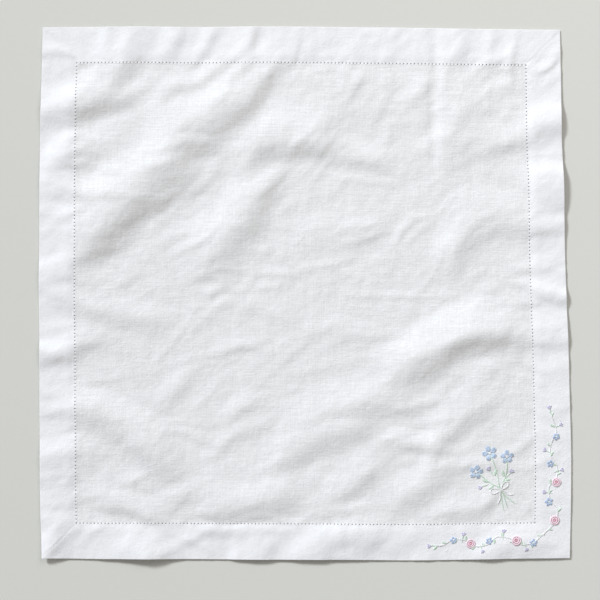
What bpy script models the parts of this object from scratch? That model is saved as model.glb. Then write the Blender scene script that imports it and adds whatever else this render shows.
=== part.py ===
"""A linen handkerchief with a wide mitred hem, laid out flat in soft folds.

The cloth lies in the XY plane on z = 0, with the light side of its folds towards -X and +Y.
"""
import math
from collections import namedtuple

import bmesh
import bpy
import numpy as np
from mathutils import Vector, noise

MM = 0.001

# Driving sizes, in millimetres
SIDE = 430.0
HEM_WIDTH = 28.6
FIELD_THICKNESS = 1.0
HEM_THICKNESS = 1.5
HEM_STEP_WIDTH = 1.6
HEM_CELLS = 3
FIELD_CELLS = 38
HALF = SIDE / 2

# How the folds are shaped and how they wander from their rows below, in millimetres
FADE_SHARE = 0.24
LEVEL_END_SHARE = 0.03
PATH_STEP = 4.0
PATH_BLEND = 7.0
NEAR_MARGIN = 15.0
LEAST_SAMPLES = 6
WANDER_SIZE = 26.0
WANDER_REACH = 2.2
WANDER_SEED = 0.5
DROP_SHARE = 0.93
RISE_SHARE = 0.82
LEAN = 1.6

LINEN_COLOUR = (0.80, 0.81, 0.83, 1.0)
LINEN_ROUGHNESS = 0.9

# Drift of each edge from the straight side of the square, in millimetres along +X or +Y, at
# stations along the side
Edge = namedtuple("Edge", "station left right bottom top")
EDGES = (
    Edge(-215, 2.0, -0.4, 0.6, 0.3),
    Edge(-172, 0.7, 0.4, 0.0, 0.8),
    Edge(-129, 0.3, 0.6, 0.0, 1.1),
    Edge(-86, 0.0, -0.5, -0.2, 0.6),
    Edge(-43, 0.0, -1.6, -0.5, 1.1),
    Edge(0, -0.5, -3.3, -0.6, 1.0),
    Edge(43, -0.1, -4.6, -0.8, 0.5),
    Edge(86, 0.0, -5.3, -1.2, 0.1),
    Edge(129, 0.6, -7.1, -0.6, -0.6),
    Edge(172, 1.6, -7.6, 0.2, -1.2),
    Edge(215, 2.6, -8.4, 0.6, -1.5),
)

# A fold's path runs from left to right along the middle of its steep side. The cloth drops over
# the flank's width on the right hand of the path, and climbs to the crest over the rise's width
# on the left hand. All in millimetres.
Fold = namedtuple("Fold", "place flank_start flank_end rise drop path")
FOLDS = (
    Fold("long upper left sweep", 22, 38, 51, 7.0,
         ((-202, 18), (-175, 31), (-154, 48), (-136, 68), (-116, 84), (-94, 95), (-72, 111))),
    Fold("second sweep, lower half", 26, 38, 41, 6.2,
         ((-124, 102), (-100, 119), (-80, 126), (-64, 137), (-50, 150), (-37, 164))),
    Fold("second sweep, upper half", 20, 13, 30, 3.4,
         ((-70, 128), (-50, 146), (-38, 160), (-28, 173), (-20, 184), (-13, 194))),
    Fold("left corner, hem part", 20, 18, 34, 2.4,
         ((-236, 126), (-212, 137), (-198, 142), (-184, 147), (-168, 154))),
    Fold("left corner, field part", 18, 13, 25, 3.4,
         ((-194, 137), (-178, 147), (-164, 151), (-146, 154), (-130, 160))),
    Fold("below the left corner", 14, 17, 28, 1.6,
         ((-222, 78), (-200, 95), (-180, 104), (-160, 114), (-140, 128), (-120, 140))),
    Fold("under the top hem, left", 17, 14, 25, 2.8,
         ((-179, 152), (-164, 162), (-150, 173), (-139, 182), (-131, 191))),
    Fold("top hem, first wave", 11, 11, 18, 1.8,
         ((-112, 187), (-106, 196), (-101, 207), (-95, 228))),
    Fold("top hem, second wave", 10, 10, 22, 1.9,
         ((-54, 186), (-47, 196), (-43, 207), (-38, 228))),
    Fold("middle arch", 17, 24, 36, 3.9,
         ((-74, 92), (-50, 101), (-30, 113), (-8, 118), (10, 118), (22, 128), (36, 146))),
    Fold("middle arch, right arm", 10, 10, 20, 1.4,
         ((6, 104), (24, 106), (42, 106), (58, 103), (80, 98))),
    Fold("centre left fold", 34, 18, 36, 4.4,
         ((-86, -6), (-70, 18), (-56, 38), (-42, 54), (-34, 70), (-24, 86), (-10, 104))),
    Fold("right, upper short fold", 13, 12, 22, 2.4,
         ((136, 106), (150, 114), (164, 117), (178, 118), (202, 123))),
    Fold("right, arched fold", 14, 27, 28, 3.2,
         ((112, 2), (122, 20), (132, 38), (144, 52), (160, 54), (180, 48), (232, 48))),
    Fold("strong lower right fold", 30, 23, 34, 5.7,
         ((62, -93), (84, -71), (104, -60), (122, -48), (140, -41), (164, -40), (186, -43))),
    Fold("strong fold, in the right hem", 14, 13, 28, 1.7,
         ((170, -39), (188, -40), (205, -40), (240, -41))),
    Fold("left, low ripple", 15, 17, 21, 2.0,
         ((-196, -8), (-176, -16), (-150, -22), (-128, -27), (-104, -36))),
    Fold("left hem, upper dip", 14, 14, 30, 2.1,
         ((-238, 4), (-214, 2), (-202, -8), (-188, -15))),
    Fold("left hem, strong wave", 12, 12, 21, 2.0,
         ((-240, -64), (-208, -57), (-190, -51), (-176, -43), (-156, -40))),
    Fold("left, lower sweep", 20, 29, 27, 4.8,
         ((-204, -94), (-180, -102), (-156, -112), (-136, -125), (-116, -142), (-88, -154))),
    Fold("left hem, low wave one", 14, 14, 21, 2.4,
         ((-238, -144), (-206, -137), (-188, -134), (-170, -134))),
    Fold("left hem, low wave two", 12, 12, 12, 1.5,
         ((-238, -158), (-208, -153), (-190, -149), (-172, -143))),
    Fold("along the lower hem, left", 10, 8, 21, 2.3,
         ((-180, -166), (-160, -173), (-142, -178), (-124, -184), (-98, -186))),
    Fold("lower wedge", 14, 19, 28, 3.8,
         ((-98, -186), (-68, -180), (-42, -177), (-20, -172), (8, -165))),
    Fold("lower middle fold", 16, 16, 26, 2.2,
         ((-8, -190), (10, -180), (26, -170), (42, -159), (58, -146), (76, -132))),
    Fold("lower middle dip", 18, 25, 28, 2.9,
         ((-34, -146), (-12, -134), (8, -126), (26, -120), (50, -112), (66, -104))),
    Fold("lower right ripple", 11, 11, 20, 1.7,
         ((16, -98), (36, -96), (58, -95), (82, -96), (104, -92))),
    Fold("lower right short fold", 17, 18, 25, 2.3,
         ((66, -184), (84, -171), (100, -162), (116, -148), (128, -138))),
    Fold("above the corner", 13, 17, 26, 2.2,
         ((104, -138), (118, -118), (132, -103), (146, -94), (160, -76))),
    Fold("beside the lower corner", 11, 11, 21, 1.7,
         ((96, -182), (122, -180), (140, -177), (154, -166), (164, -150))),
    Fold("right hem, first lift", 18, 24, 26, 3.4,
         ((176, 127), (190, 129), (206, 131), (256, 133))),
    Fold("right hem, long lift", 42, 46, 18, 3.7,
         ((178, 74), (192, 75), (208, 76), (258, 76))),
    Fold("right hem, small pleat", 8, 11, 10, 2.3,
         ((182, 2), (192, -2), (204, -5), (240, -8))),
    Fold("bottom hem, left lift", 20, 22, 18, 2.8,
         ((-206, -246), (-200, -214), (-196, -200), (-190, -184))),
    Fold("bottom hem, wide lift", 34, 36, 28, 4.1,
         ((-112, -262), (-114, -214), (-118, -202), (-126, -186))),
    Fold("bottom hem, third lift", 25, 25, 20, 2.5,
         ((-30, -254), (-28, -214), (-26, -202), (-26, -190))),
    Fold("bottom hem, strong lift", 21, 19, 26, 3.3,
         ((-16, -235), (10, -216), (28, -206), (50, -203), (78, -198))),
    Fold("bottom hem, right lift", 17, 17, 23, 2.3,
         ((138, -232), (160, -214), (180, -210), (204, -212))),
)


def smoothstep(value):
    """Ease a value from 0 to 1 with level ends."""
    held = np.clip(value, 0.0, 1.0)
    return held * held * (3.0 - 2.0 * held)


def through_points(rows, places):
    """Smooth curve through evenly counted rows, read at places given in rows."""
    rows = np.asarray(rows, dtype=float)
    last = len(rows) - 1
    start = np.clip(np.floor(places).astype(int), 0, last - 1)
    part = (places - start).reshape(-1, *([1] * (rows.ndim - 1)))
    before = rows[np.clip(start - 1, 0, last)]
    here = rows[start]
    after = rows[start + 1]
    beyond = rows[np.clip(start + 2, 0, last)]
    curve = 2.0 * here
    curve = curve + (after - before) * part
    curve = curve + (2.0 * before - 5.0 * here + 4.0 * after - beyond) * part ** 2
    curve = curve + (3.0 * here - before - 3.0 * after + beyond) * part ** 3
    return 0.5 * curve


def edge_drift(side, along):
    """Drift of one edge at positions along it."""
    spacing = EDGES[1].station - EDGES[0].station
    places = (np.asarray(along, dtype=float) - EDGES[0].station) / spacing
    drift = [getattr(row, side) for row in EDGES]
    return through_points(drift, np.clip(places, 0.0, len(EDGES) - 1.0))


def to_outline(across, along):
    """Move points of the square cloth onto its true, slightly uneven outline."""
    from_left = (across + HALF) / SIDE
    from_bottom = (along + HALF) / SIDE
    shift_x = edge_drift("left", along) * (1.0 - from_left) + edge_drift("right", along) * from_left
    shift_y = edge_drift("bottom", across) * (1.0 - from_bottom) + edge_drift("top", across) * from_bottom
    return across + shift_x, along + shift_y


def wander(across, along):
    """Points nudged by smooth noise, so that no fold runs like a ruled line."""
    moved = np.empty((len(across), 2))
    for index, (x, y) in enumerate(zip(across, along)):
        drift = noise.noise_vector(Vector((x / WANDER_SIZE, y / WANDER_SIZE, WANDER_SEED)))
        moved[index] = (x + WANDER_REACH * drift.x, y + WANDER_REACH * drift.y)
    return moved


def fold_path(fold):
    """Even samples of a fold's path, their right-hand directions, flanks and drops."""
    corners = np.asarray(fold.path, dtype=float)
    length = np.sum(np.hypot(*np.diff(corners, axis=0).T))
    count = max(LEAST_SAMPLES, int(math.ceil(length / PATH_STEP)))
    share = np.linspace(0.0, 1.0, count)
    samples = through_points(corners, share * (len(corners) - 1))
    ahead = np.gradient(samples, axis=0)
    ahead /= np.hypot(*ahead.T)[:, None]
    right_hand = np.stack([ahead[:, 1], -ahead[:, 0]], axis=1)
    flanks = fold.flank_start + (fold.flank_end - fold.flank_start) * share
    from_end = np.minimum(share, 1.0 - share) - LEVEL_END_SHARE
    drops = DROP_SHARE * fold.drop * smoothstep(from_end / FADE_SHARE)
    return samples, right_hand, flanks, drops


def fold_height(points, fold):
    """Height that one fold adds at an array of points."""
    samples, right_hand, flanks, drops = fold_path(fold)
    reach = fold.rise + max(fold.flank_start, fold.flank_end) + NEAR_MARGIN
    low = samples.min(axis=0) - reach
    high = samples.max(axis=0) + reach
    near = np.all((points > low) & (points < high), axis=1)
    height = np.zeros(len(points))
    if not near.any():
        return height
    offsets = points[near][:, None, :] - samples[None, :, :]
    squared = np.sum(offsets ** 2, axis=2)
    closest = squared.min(axis=1, keepdims=True)
    weights = np.exp((closest - squared) / (2.0 * PATH_BLEND ** 2))
    weights /= weights.sum(axis=1, keepdims=True)
    beside = np.sum(weights * np.sum(offsets * right_hand[None], axis=2), axis=1)
    flank = weights @ flanks
    drop = weights @ drops
    down = (beside + flank / 2 - LEAN) / flank
    up = (LEAN - beside - flank / 2) / (RISE_SHARE * fold.rise)
    height[near] = drop * (1.0 - smoothstep(np.where(down > 0.0, down, up)))
    return height


def relief(across, along):
    """Height of the cloth's underside over the surface that it lies on."""
    points = wander(across, along)
    return sum(fold_height(points, fold) for fold in FOLDS)


def grid_lines():
    """Positions of the mesh lines across the square cloth, close together at the hem's step."""
    hem = np.linspace(-HALF, -HALF + HEM_WIDTH, HEM_CELLS + 1)
    inner = HALF - HEM_WIDTH - HEM_STEP_WIDTH
    field = np.linspace(-inner, inner, FIELD_CELLS + 1)
    return np.concatenate([hem, field, -hem[::-1]])


def cloth_mesh():
    """Underside of the cloth as an open sheet, and the points that belong to the hem."""
    lines = grid_lines()
    cells = len(lines) - 1
    bm = bmesh.new()
    bmesh.ops.create_grid(bm, x_segments=cells, y_segments=cells, size=1.0)
    flat = np.array([vert.co for vert in bm.verts])
    columns = np.rint((flat[:, 0] + 1.0) / 2.0 * cells).astype(int)
    rows = np.rint((flat[:, 1] + 1.0) / 2.0 * cells).astype(int)
    across, along = lines[columns], lines[rows]
    in_hem = np.maximum(np.abs(across), np.abs(along)) > HALF - HEM_WIDTH - HEM_STEP_WIDTH / 2
    x, y = to_outline(across, along)
    z = relief(x, y)
    x -= (x.min() + x.max()) / 2
    y -= (y.min() + y.max()) / 2
    for vert, place in zip(bm.verts, np.stack([x, y, z], axis=1) * MM):
        vert.co = place
    mesh = bpy.data.meshes.new("handkerchief_cloth")
    bm.to_mesh(mesh)
    bm.free()
    return mesh, np.flatnonzero(in_hem).tolist()


def linen_material():
    """Matt white linen."""
    material = bpy.data.materials.new("linen")
    material.use_nodes = True
    shader = material.node_tree.nodes["Principled BSDF"]
    shader.inputs["Base Color"].default_value = LINEN_COLOUR
    shader.inputs["Roughness"].default_value = LINEN_ROUGHNESS
    shader.inputs["Metallic"].default_value = 0.0
    return material


def add_cloth(collection):
    """The one piece of linen, thicker where the hem doubles it."""
    mesh, hem_points = cloth_mesh()
    mesh.shade_smooth()
    mesh.materials.append(linen_material())
    cloth = bpy.data.objects.new("handkerchief_cloth", mesh)
    collection.objects.link(cloth)
    hem = cloth.vertex_groups.new(name="hem")
    hem.add(hem_points, 1.0, "REPLACE")
    solidify = cloth.modifiers.new("thickness", "SOLIDIFY")
    solidify.thickness = HEM_THICKNESS * MM
    solidify.offset = 1.0
    solidify.vertex_group = hem.name
    solidify.thickness_vertex_group = FIELD_THICKNESS / HEM_THICKNESS
    return cloth


def build():
    """Clear the scene and lay the handkerchief out in its own collection."""
    for old in list(bpy.data.objects):
        bpy.data.objects.remove(old, do_unlink=True)
    collection = bpy.data.collections.new("linen_handkerchief")
    bpy.context.scene.collection.children.link(collection)
    return add_cloth(collection)


build()
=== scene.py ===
"""Dress a hemstitched linen handkerchief: sheer cloth, doubled hem, drawn-thread row and embroidery.

Lengths in the tables are in millimetres, as in the solid's own folds. Lengths that a user may
change are in metres, in the property groups.
"""
import math
from collections import namedtuple

import bpy
import numpy as np
from bpy.props import FloatProperty, FloatVectorProperty, IntProperty, PointerProperty
from bpy.types import Operator, Panel, PropertyGroup
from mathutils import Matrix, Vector, noise


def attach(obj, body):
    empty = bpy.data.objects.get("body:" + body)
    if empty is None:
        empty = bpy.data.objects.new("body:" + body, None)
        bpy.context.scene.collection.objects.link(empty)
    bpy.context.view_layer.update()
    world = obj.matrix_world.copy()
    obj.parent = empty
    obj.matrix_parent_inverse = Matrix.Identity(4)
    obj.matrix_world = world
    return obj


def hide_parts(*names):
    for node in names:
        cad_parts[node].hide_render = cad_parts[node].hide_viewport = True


bl_info = {
    "name": "Linen handkerchief",
    "version": (1, 0, 0),
    "blender": (4, 5, 0),
    "location": "3D View > Sidebar > Handkerchief",
    "description": "Builds the cloth, hemstitching and embroidery of a linen handkerchief",
    "category": "Object",
}

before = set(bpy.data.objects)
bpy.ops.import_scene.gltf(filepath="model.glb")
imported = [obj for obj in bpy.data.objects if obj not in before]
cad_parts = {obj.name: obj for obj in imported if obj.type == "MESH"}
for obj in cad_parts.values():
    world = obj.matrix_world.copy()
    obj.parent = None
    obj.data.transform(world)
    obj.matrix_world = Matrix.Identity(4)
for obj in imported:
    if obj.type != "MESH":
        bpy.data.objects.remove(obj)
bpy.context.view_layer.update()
SOLID = "handkerchief_cloth"
BODY = "root"

MM = 0.001
SIDE = 430.0
HALF = SIDE / 2

# How the folds are shaped and how they wander from their rows below, in millimetres
FADE_SHARE = 0.24
LEVEL_END_SHARE = 0.03
PATH_STEP = 4.0
PATH_BLEND = 7.0
NEAR_MARGIN = 15.0
LEAST_SAMPLES = 6
WANDER_SIZE = 26.0
WANDER_REACH = 2.2
WANDER_SEED = 0.5
DROP_SHARE = 0.93
RISE_SHARE = 0.82
LEAN = 1.6

# Drift of each edge from the straight side of the square, in millimetres along +X or +Y, at
# stations along the side
Edge = namedtuple("Edge", "station left right bottom top")
EDGES = (
    Edge(-215, 2.0, -0.4, 0.6, 0.3),
    Edge(-172, 0.7, 0.4, 0.0, 0.8),
    Edge(-129, 0.3, 0.6, 0.0, 1.1),
    Edge(-86, 0.0, -0.5, -0.2, 0.6),
    Edge(-43, 0.0, -1.6, -0.5, 1.1),
    Edge(0, -0.5, -3.3, -0.6, 1.0),
    Edge(43, -0.1, -4.6, -0.8, 0.5),
    Edge(86, 0.0, -5.3, -1.2, 0.1),
    Edge(129, 0.6, -7.1, -0.6, -0.6),
    Edge(172, 1.6, -7.6, 0.2, -1.2),
    Edge(215, 2.6, -8.4, 0.6, -1.5),
)

# A fold's path runs from left to right along the middle of its steep side. The cloth drops over
# the flank's width on the right hand of the path, and climbs to the crest over the rise's width
# on the left hand. These rows are the solid's own folds.
Fold = namedtuple("Fold", "place flank_start flank_end rise drop path")
FOLDS = (
    Fold("long upper left sweep", 22, 38, 51, 7.0,
         ((-202, 18), (-175, 31), (-154, 48), (-136, 68), (-116, 84), (-94, 95), (-72, 111))),
    Fold("second sweep, lower half", 26, 38, 41, 6.2,
         ((-124, 102), (-100, 119), (-80, 126), (-64, 137), (-50, 150), (-37, 164))),
    Fold("second sweep, upper half", 20, 13, 30, 3.4,
         ((-70, 128), (-50, 146), (-38, 160), (-28, 173), (-20, 184), (-13, 194))),
    Fold("left corner, hem part", 20, 18, 34, 2.4,
         ((-236, 126), (-212, 137), (-198, 142), (-184, 147), (-168, 154))),
    Fold("left corner, field part", 18, 13, 25, 3.4,
         ((-194, 137), (-178, 147), (-164, 151), (-146, 154), (-130, 160))),
    Fold("below the left corner", 14, 17, 28, 1.6,
         ((-222, 78), (-200, 95), (-180, 104), (-160, 114), (-140, 128), (-120, 140))),
    Fold("under the top hem, left", 17, 14, 25, 2.8,
         ((-179, 152), (-164, 162), (-150, 173), (-139, 182), (-131, 191))),
    Fold("top hem, first wave", 11, 11, 18, 1.8,
         ((-112, 187), (-106, 196), (-101, 207), (-95, 228))),
    Fold("top hem, second wave", 10, 10, 22, 1.9,
         ((-54, 186), (-47, 196), (-43, 207), (-38, 228))),
    Fold("middle arch", 17, 24, 36, 3.9,
         ((-74, 92), (-50, 101), (-30, 113), (-8, 118), (10, 118), (22, 128), (36, 146))),
    Fold("middle arch, right arm", 10, 10, 20, 1.4,
         ((6, 104), (24, 106), (42, 106), (58, 103), (80, 98))),
    Fold("centre left fold", 34, 18, 36, 4.4,
         ((-86, -6), (-70, 18), (-56, 38), (-42, 54), (-34, 70), (-24, 86), (-10, 104))),
    Fold("right, upper short fold", 13, 12, 22, 2.4,
         ((136, 106), (150, 114), (164, 117), (178, 118), (202, 123))),
    Fold("right, arched fold", 14, 27, 28, 3.2,
         ((112, 2), (122, 20), (132, 38), (144, 52), (160, 54), (180, 48), (232, 48))),
    Fold("strong lower right fold", 30, 23, 34, 5.7,
         ((62, -93), (84, -71), (104, -60), (122, -48), (140, -41), (164, -40), (186, -43))),
    Fold("strong fold, in the right hem", 14, 13, 28, 1.7,
         ((170, -39), (188, -40), (205, -40), (240, -41))),
    Fold("left, low ripple", 15, 17, 21, 2.0,
         ((-196, -8), (-176, -16), (-150, -22), (-128, -27), (-104, -36))),
    Fold("left hem, upper dip", 14, 14, 30, 2.1,
         ((-238, 4), (-214, 2), (-202, -8), (-188, -15))),
    Fold("left hem, strong wave", 12, 12, 21, 2.0,
         ((-240, -64), (-208, -57), (-190, -51), (-176, -43), (-156, -40))),
    Fold("left, lower sweep", 20, 29, 27, 4.8,
         ((-204, -94), (-180, -102), (-156, -112), (-136, -125), (-116, -142), (-88, -154))),
    Fold("left hem, low wave one", 14, 14, 21, 2.4,
         ((-238, -144), (-206, -137), (-188, -134), (-170, -134))),
    Fold("left hem, low wave two", 12, 12, 12, 1.5,
         ((-238, -158), (-208, -153), (-190, -149), (-172, -143))),
    Fold("along the lower hem, left", 10, 8, 21, 2.3,
         ((-180, -166), (-160, -173), (-142, -178), (-124, -184), (-98, -186))),
    Fold("lower wedge", 14, 19, 28, 3.8,
         ((-98, -186), (-68, -180), (-42, -177), (-20, -172), (8, -165))),
    Fold("lower middle fold", 16, 16, 26, 2.2,
         ((-8, -190), (10, -180), (26, -170), (42, -159), (58, -146), (76, -132))),
    Fold("lower middle dip", 18, 25, 28, 2.9,
         ((-34, -146), (-12, -134), (8, -126), (26, -120), (50, -112), (66, -104))),
    Fold("lower right ripple", 11, 11, 20, 1.7,
         ((16, -98), (36, -96), (58, -95), (82, -96), (104, -92))),
    Fold("lower right short fold", 17, 18, 25, 2.3,
         ((66, -184), (84, -171), (100, -162), (116, -148), (128, -138))),
    Fold("above the corner", 13, 17, 26, 2.2,
         ((104, -138), (118, -118), (132, -103), (146, -94), (160, -76))),
    Fold("beside the lower corner", 11, 11, 21, 1.7,
         ((96, -182), (122, -180), (140, -177), (154, -166), (164, -150))),
    Fold("right hem, first lift", 18, 24, 26, 3.4,
         ((176, 127), (190, 129), (206, 131), (256, 133))),
    Fold("right hem, long lift", 42, 46, 18, 3.7,
         ((178, 74), (192, 75), (208, 76), (258, 76))),
    Fold("right hem, small pleat", 8, 11, 10, 2.3,
         ((182, 2), (192, -2), (204, -5), (240, -8))),
    Fold("bottom hem, left lift", 20, 22, 18, 2.8,
         ((-206, -246), (-200, -214), (-196, -200), (-190, -184))),
    Fold("bottom hem, wide lift", 34, 36, 28, 4.1,
         ((-112, -262), (-114, -214), (-118, -202), (-126, -186))),
    Fold("bottom hem, third lift", 25, 25, 20, 2.5,
         ((-30, -254), (-28, -214), (-26, -202), (-26, -190))),
    Fold("bottom hem, strong lift", 21, 19, 26, 3.3,
         ((-16, -235), (10, -216), (28, -206), (50, -203), (78, -198))),
    Fold("bottom hem, right lift", 17, 17, 23, 2.3,
         ((138, -232), (160, -214), (180, -210), (204, -212))),
)

# Finer creases over those folds, laid in the same way and read region by region
Crease = namedtuple("Crease", "flank rise drop path")
LEFT_HEM_CREASES = (
    Crease(6, 8, 1.1, ((-226, 193), (-210, 194), (-198, 194), (-187, 190))),
    Crease(5, 9, 0.5, ((-216, 174), (-206, 175), (-196, 180))),
    Crease(5, 10, 0.5, ((-194, 119), (-188, 124), (-182, 127), (-176, 124))),
    Crease(12, 10, 0.8, ((-216, 141), (-205, 147), (-196, 150), (-188, 151))),
    Crease(5, 9, 0.8, ((-202, 105), (-194, 110), (-186, 114))),
    Crease(5, 8, 0.8, ((-200, 100), (-192, 103), (-180, 104), (-174, 103))),
    Crease(6, 12, 0.9, ((-208, 48), (-199, 57), (-190, 62), (-182, 66))),
    Crease(8, 22, 1.5, ((-220, 8), (-204, 13), (-190, 12), (-180, 7), (-168, 3))),
    Crease(5, 9, 0.5, ((-214, -28), (-200, -29), (-186, -27), (-176, -27))),
    Crease(5, 9, 0.6, ((-194, -36), (-186, -34), (-176, -34))),
    Crease(7, 14, 1.0, ((-216, -99), (-204, -98), (-192, -95), (-184, -94))),
    Crease(6, 10, 0.6, ((-214, -82), (-206, -84), (-198, -84))),
    Crease(9, 12, 1.2, ((-222, -170), (-208, -172), (-196, -170))),
    Crease(5, 10, 0.3, ((-214, -196), (-204, -191), (-196, -187), (-188, -183))),
    Crease(9, 6, 0.35, ((-226, -232), (-210, -216), (-194, -200), (-180, -186))),
    Crease(12, 20, 1.5, ((-197, 90), (-195, 103), (-190, 111), (-182, 113), (-170, 113))),
    Crease(13, 8, 0.7, ((-204, 101), (-201, 110), (-196, 118), (-190, 121.5), (-178, 122))),
    Crease(25, 12, 2.2, ((-210, 76), (-200, 78), (-190, 79), (-176, 76))),
    Crease(10, 8, 1.1, ((-206, 79), (-198, 82), (-190, 81), (-178, 74))),
    Crease(9, 7, 0.9, ((-216, 64), (-205, 66), (-194, 66))),
    Crease(9, 7, 0.6, ((-206, 92), (-198, 94), (-190, 94))),
    Crease(8, 12, 1.1, ((-208, 20), (-196, 22), (-184, 26), (-174, 30))),
    Crease(10, 6, 0.6, ((-220, 60), (-206, 61), (-193, 62), (-182, 64))),
    Crease(9, 10, 1.1, ((-232, -44), (-216, -49), (-203, -52), (-193, -54))),
    Crease(10, 9, 0.8, ((-228, -42), (-214, -45), (-202, -46), (-192, -43))),
    Crease(7, 8, 0.8, ((-190, -45), (-181, -42), (-170, -42))),
    Crease(13, 13, 1.9, ((-234, -186), (-212, -186), (-197, -189))),
    Crease(9, 8, 0.9, ((-220, -144), (-206, -143), (-194, -141), (-184, -141))),
    Crease(9, 8, 0.7, ((-220, -159), (-206, -160), (-194, -158), (-184, -157))),
)
TOP_HEM_CREASES = (
    Crease(14, 14, 1.8, ((-164, 182), (-158, 196), (-153, 212), (-150, 226))),
    Crease(12, 10, 0.6, ((-150, 184), (-144, 197), (-140, 212))),
    Crease(20, 20, 2.1, ((-147, 182), (-138, 195), (-131, 208), (-126, 230))),
    Crease(7, 12, 1.4, ((-88, 188), (-80, 197), (-74, 208), (-70, 220))),
    Crease(9, 9, 2.1, ((-63, 170), (-54, 177), (-46, 185), (-38, 192))),
    Crease(8, 10, 0.9, ((-60, 184), (-51, 192), (-44, 200), (-38, 210))),
    Crease(5, 12, 0.7, ((-14, 182), (-9, 192), (-6, 202), (-4, 212))),
    Crease(10, 16, 0.5, ((40, 188), (45, 200), (47, 214))),
    Crease(8, 14, 0.5, ((66, 186), (72, 198), (74, 212))),
    Crease(11, 12, 0.8, ((122, 184), (127, 196), (129, 206), (130, 222))),
    Crease(8, 12, 1.0, ((148, 184), (152, 196), (154, 212), (155, 224))),
    Crease(6, 9, 1.2, ((166, 162), (167, 174), (167, 186), (170, 199), (175, 216))),
)
UPPER_CREASES = (
    Crease(28, 30, 0.9, ((-96, 116), (-60, 119), (-20, 126), (20, 131), (50, 137))),
    Crease(40, 24, 0.9, ((-60, 146), (0, 149), (60, 149), (120, 146), (180, 140))),
    Crease(10, 10, 0.7, ((-142, 158), (-128, 165), (-114, 176))),
    Crease(24, 24, 1.5, ((-132, 130), (-113, 145), (-97, 161), (-88, 178))),
    Crease(11, 16, 1.5, ((-198, 72), (-182, 75), (-164, 78), (-144, 80))),
    Crease(9, 12, 0.8, ((-146, 76), (-132, 76), (-119, 75), (-104, 77))),
    Crease(16, 12, 1.7, ((-116, 109), (-98, 115), (-80, 113), (-62, 111))),
    Crease(9, 10, 1.0, ((-136, 96), (-119, 101), (-102, 105))),
    Crease(6, 10, 1.0, ((-84, 86), (-77, 93), (-70, 101))),
    Crease(7, 12, 1.0, ((-84, 146), (-74, 153), (-64, 160), (-54, 166))),
    Crease(9, 14, 0.9, ((-188, 158), (-178, 165), (-168, 174), (-160, 184))),
    Crease(9, 14, 1.7, ((-116, 154), (-106, 164), (-92, 168), (-79, 174), (-67, 182), (-57, 190))),
    Crease(4, 9, 0.6, ((18, 180), (24, 181), (32, 176))),
    Crease(12, 20, 0.7, ((34, 160), (42, 172), (52, 184))),
    Crease(8, 14, 0.7, ((56, 136), (63, 150), (68, 164), (70, 178))),
    Crease(5, 9, 0.5, ((28, 148), (36, 158), (42, 168))),
    Crease(8, 12, 0.6, ((78, 144), (84, 154), (96, 164), (104, 172))),
    Crease(7, 14, 0.7, ((66, 116), (72, 126), (78, 134))),
    Crease(30, 26, 2.5, ((113, 94), (126, 111), (137, 130), (145, 148), (150, 168))),
    Crease(30, 30, 0.8, ((100, 62), (124, 76), (146, 83), (170, 82))),
    Crease(17, 16, 1.0, ((116, 54), (128, 67), (142, 74), (160, 76))),
    Crease(12, 14, 1.1, ((130, 114), (140, 124), (150, 129), (160, 131))),
    Crease(5, 9, 0.8, ((140, 178), (147, 184), (156, 188))),
    Crease(6, 10, 0.5, ((158, 136), (166, 146), (174, 152))),
    Crease(6, 10, 0.6, ((150, 160), (160, 166), (172, 164))),
    Crease(5, 10, 0.5, ((150, 176), (158, 182), (166, 178))),
)
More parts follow.
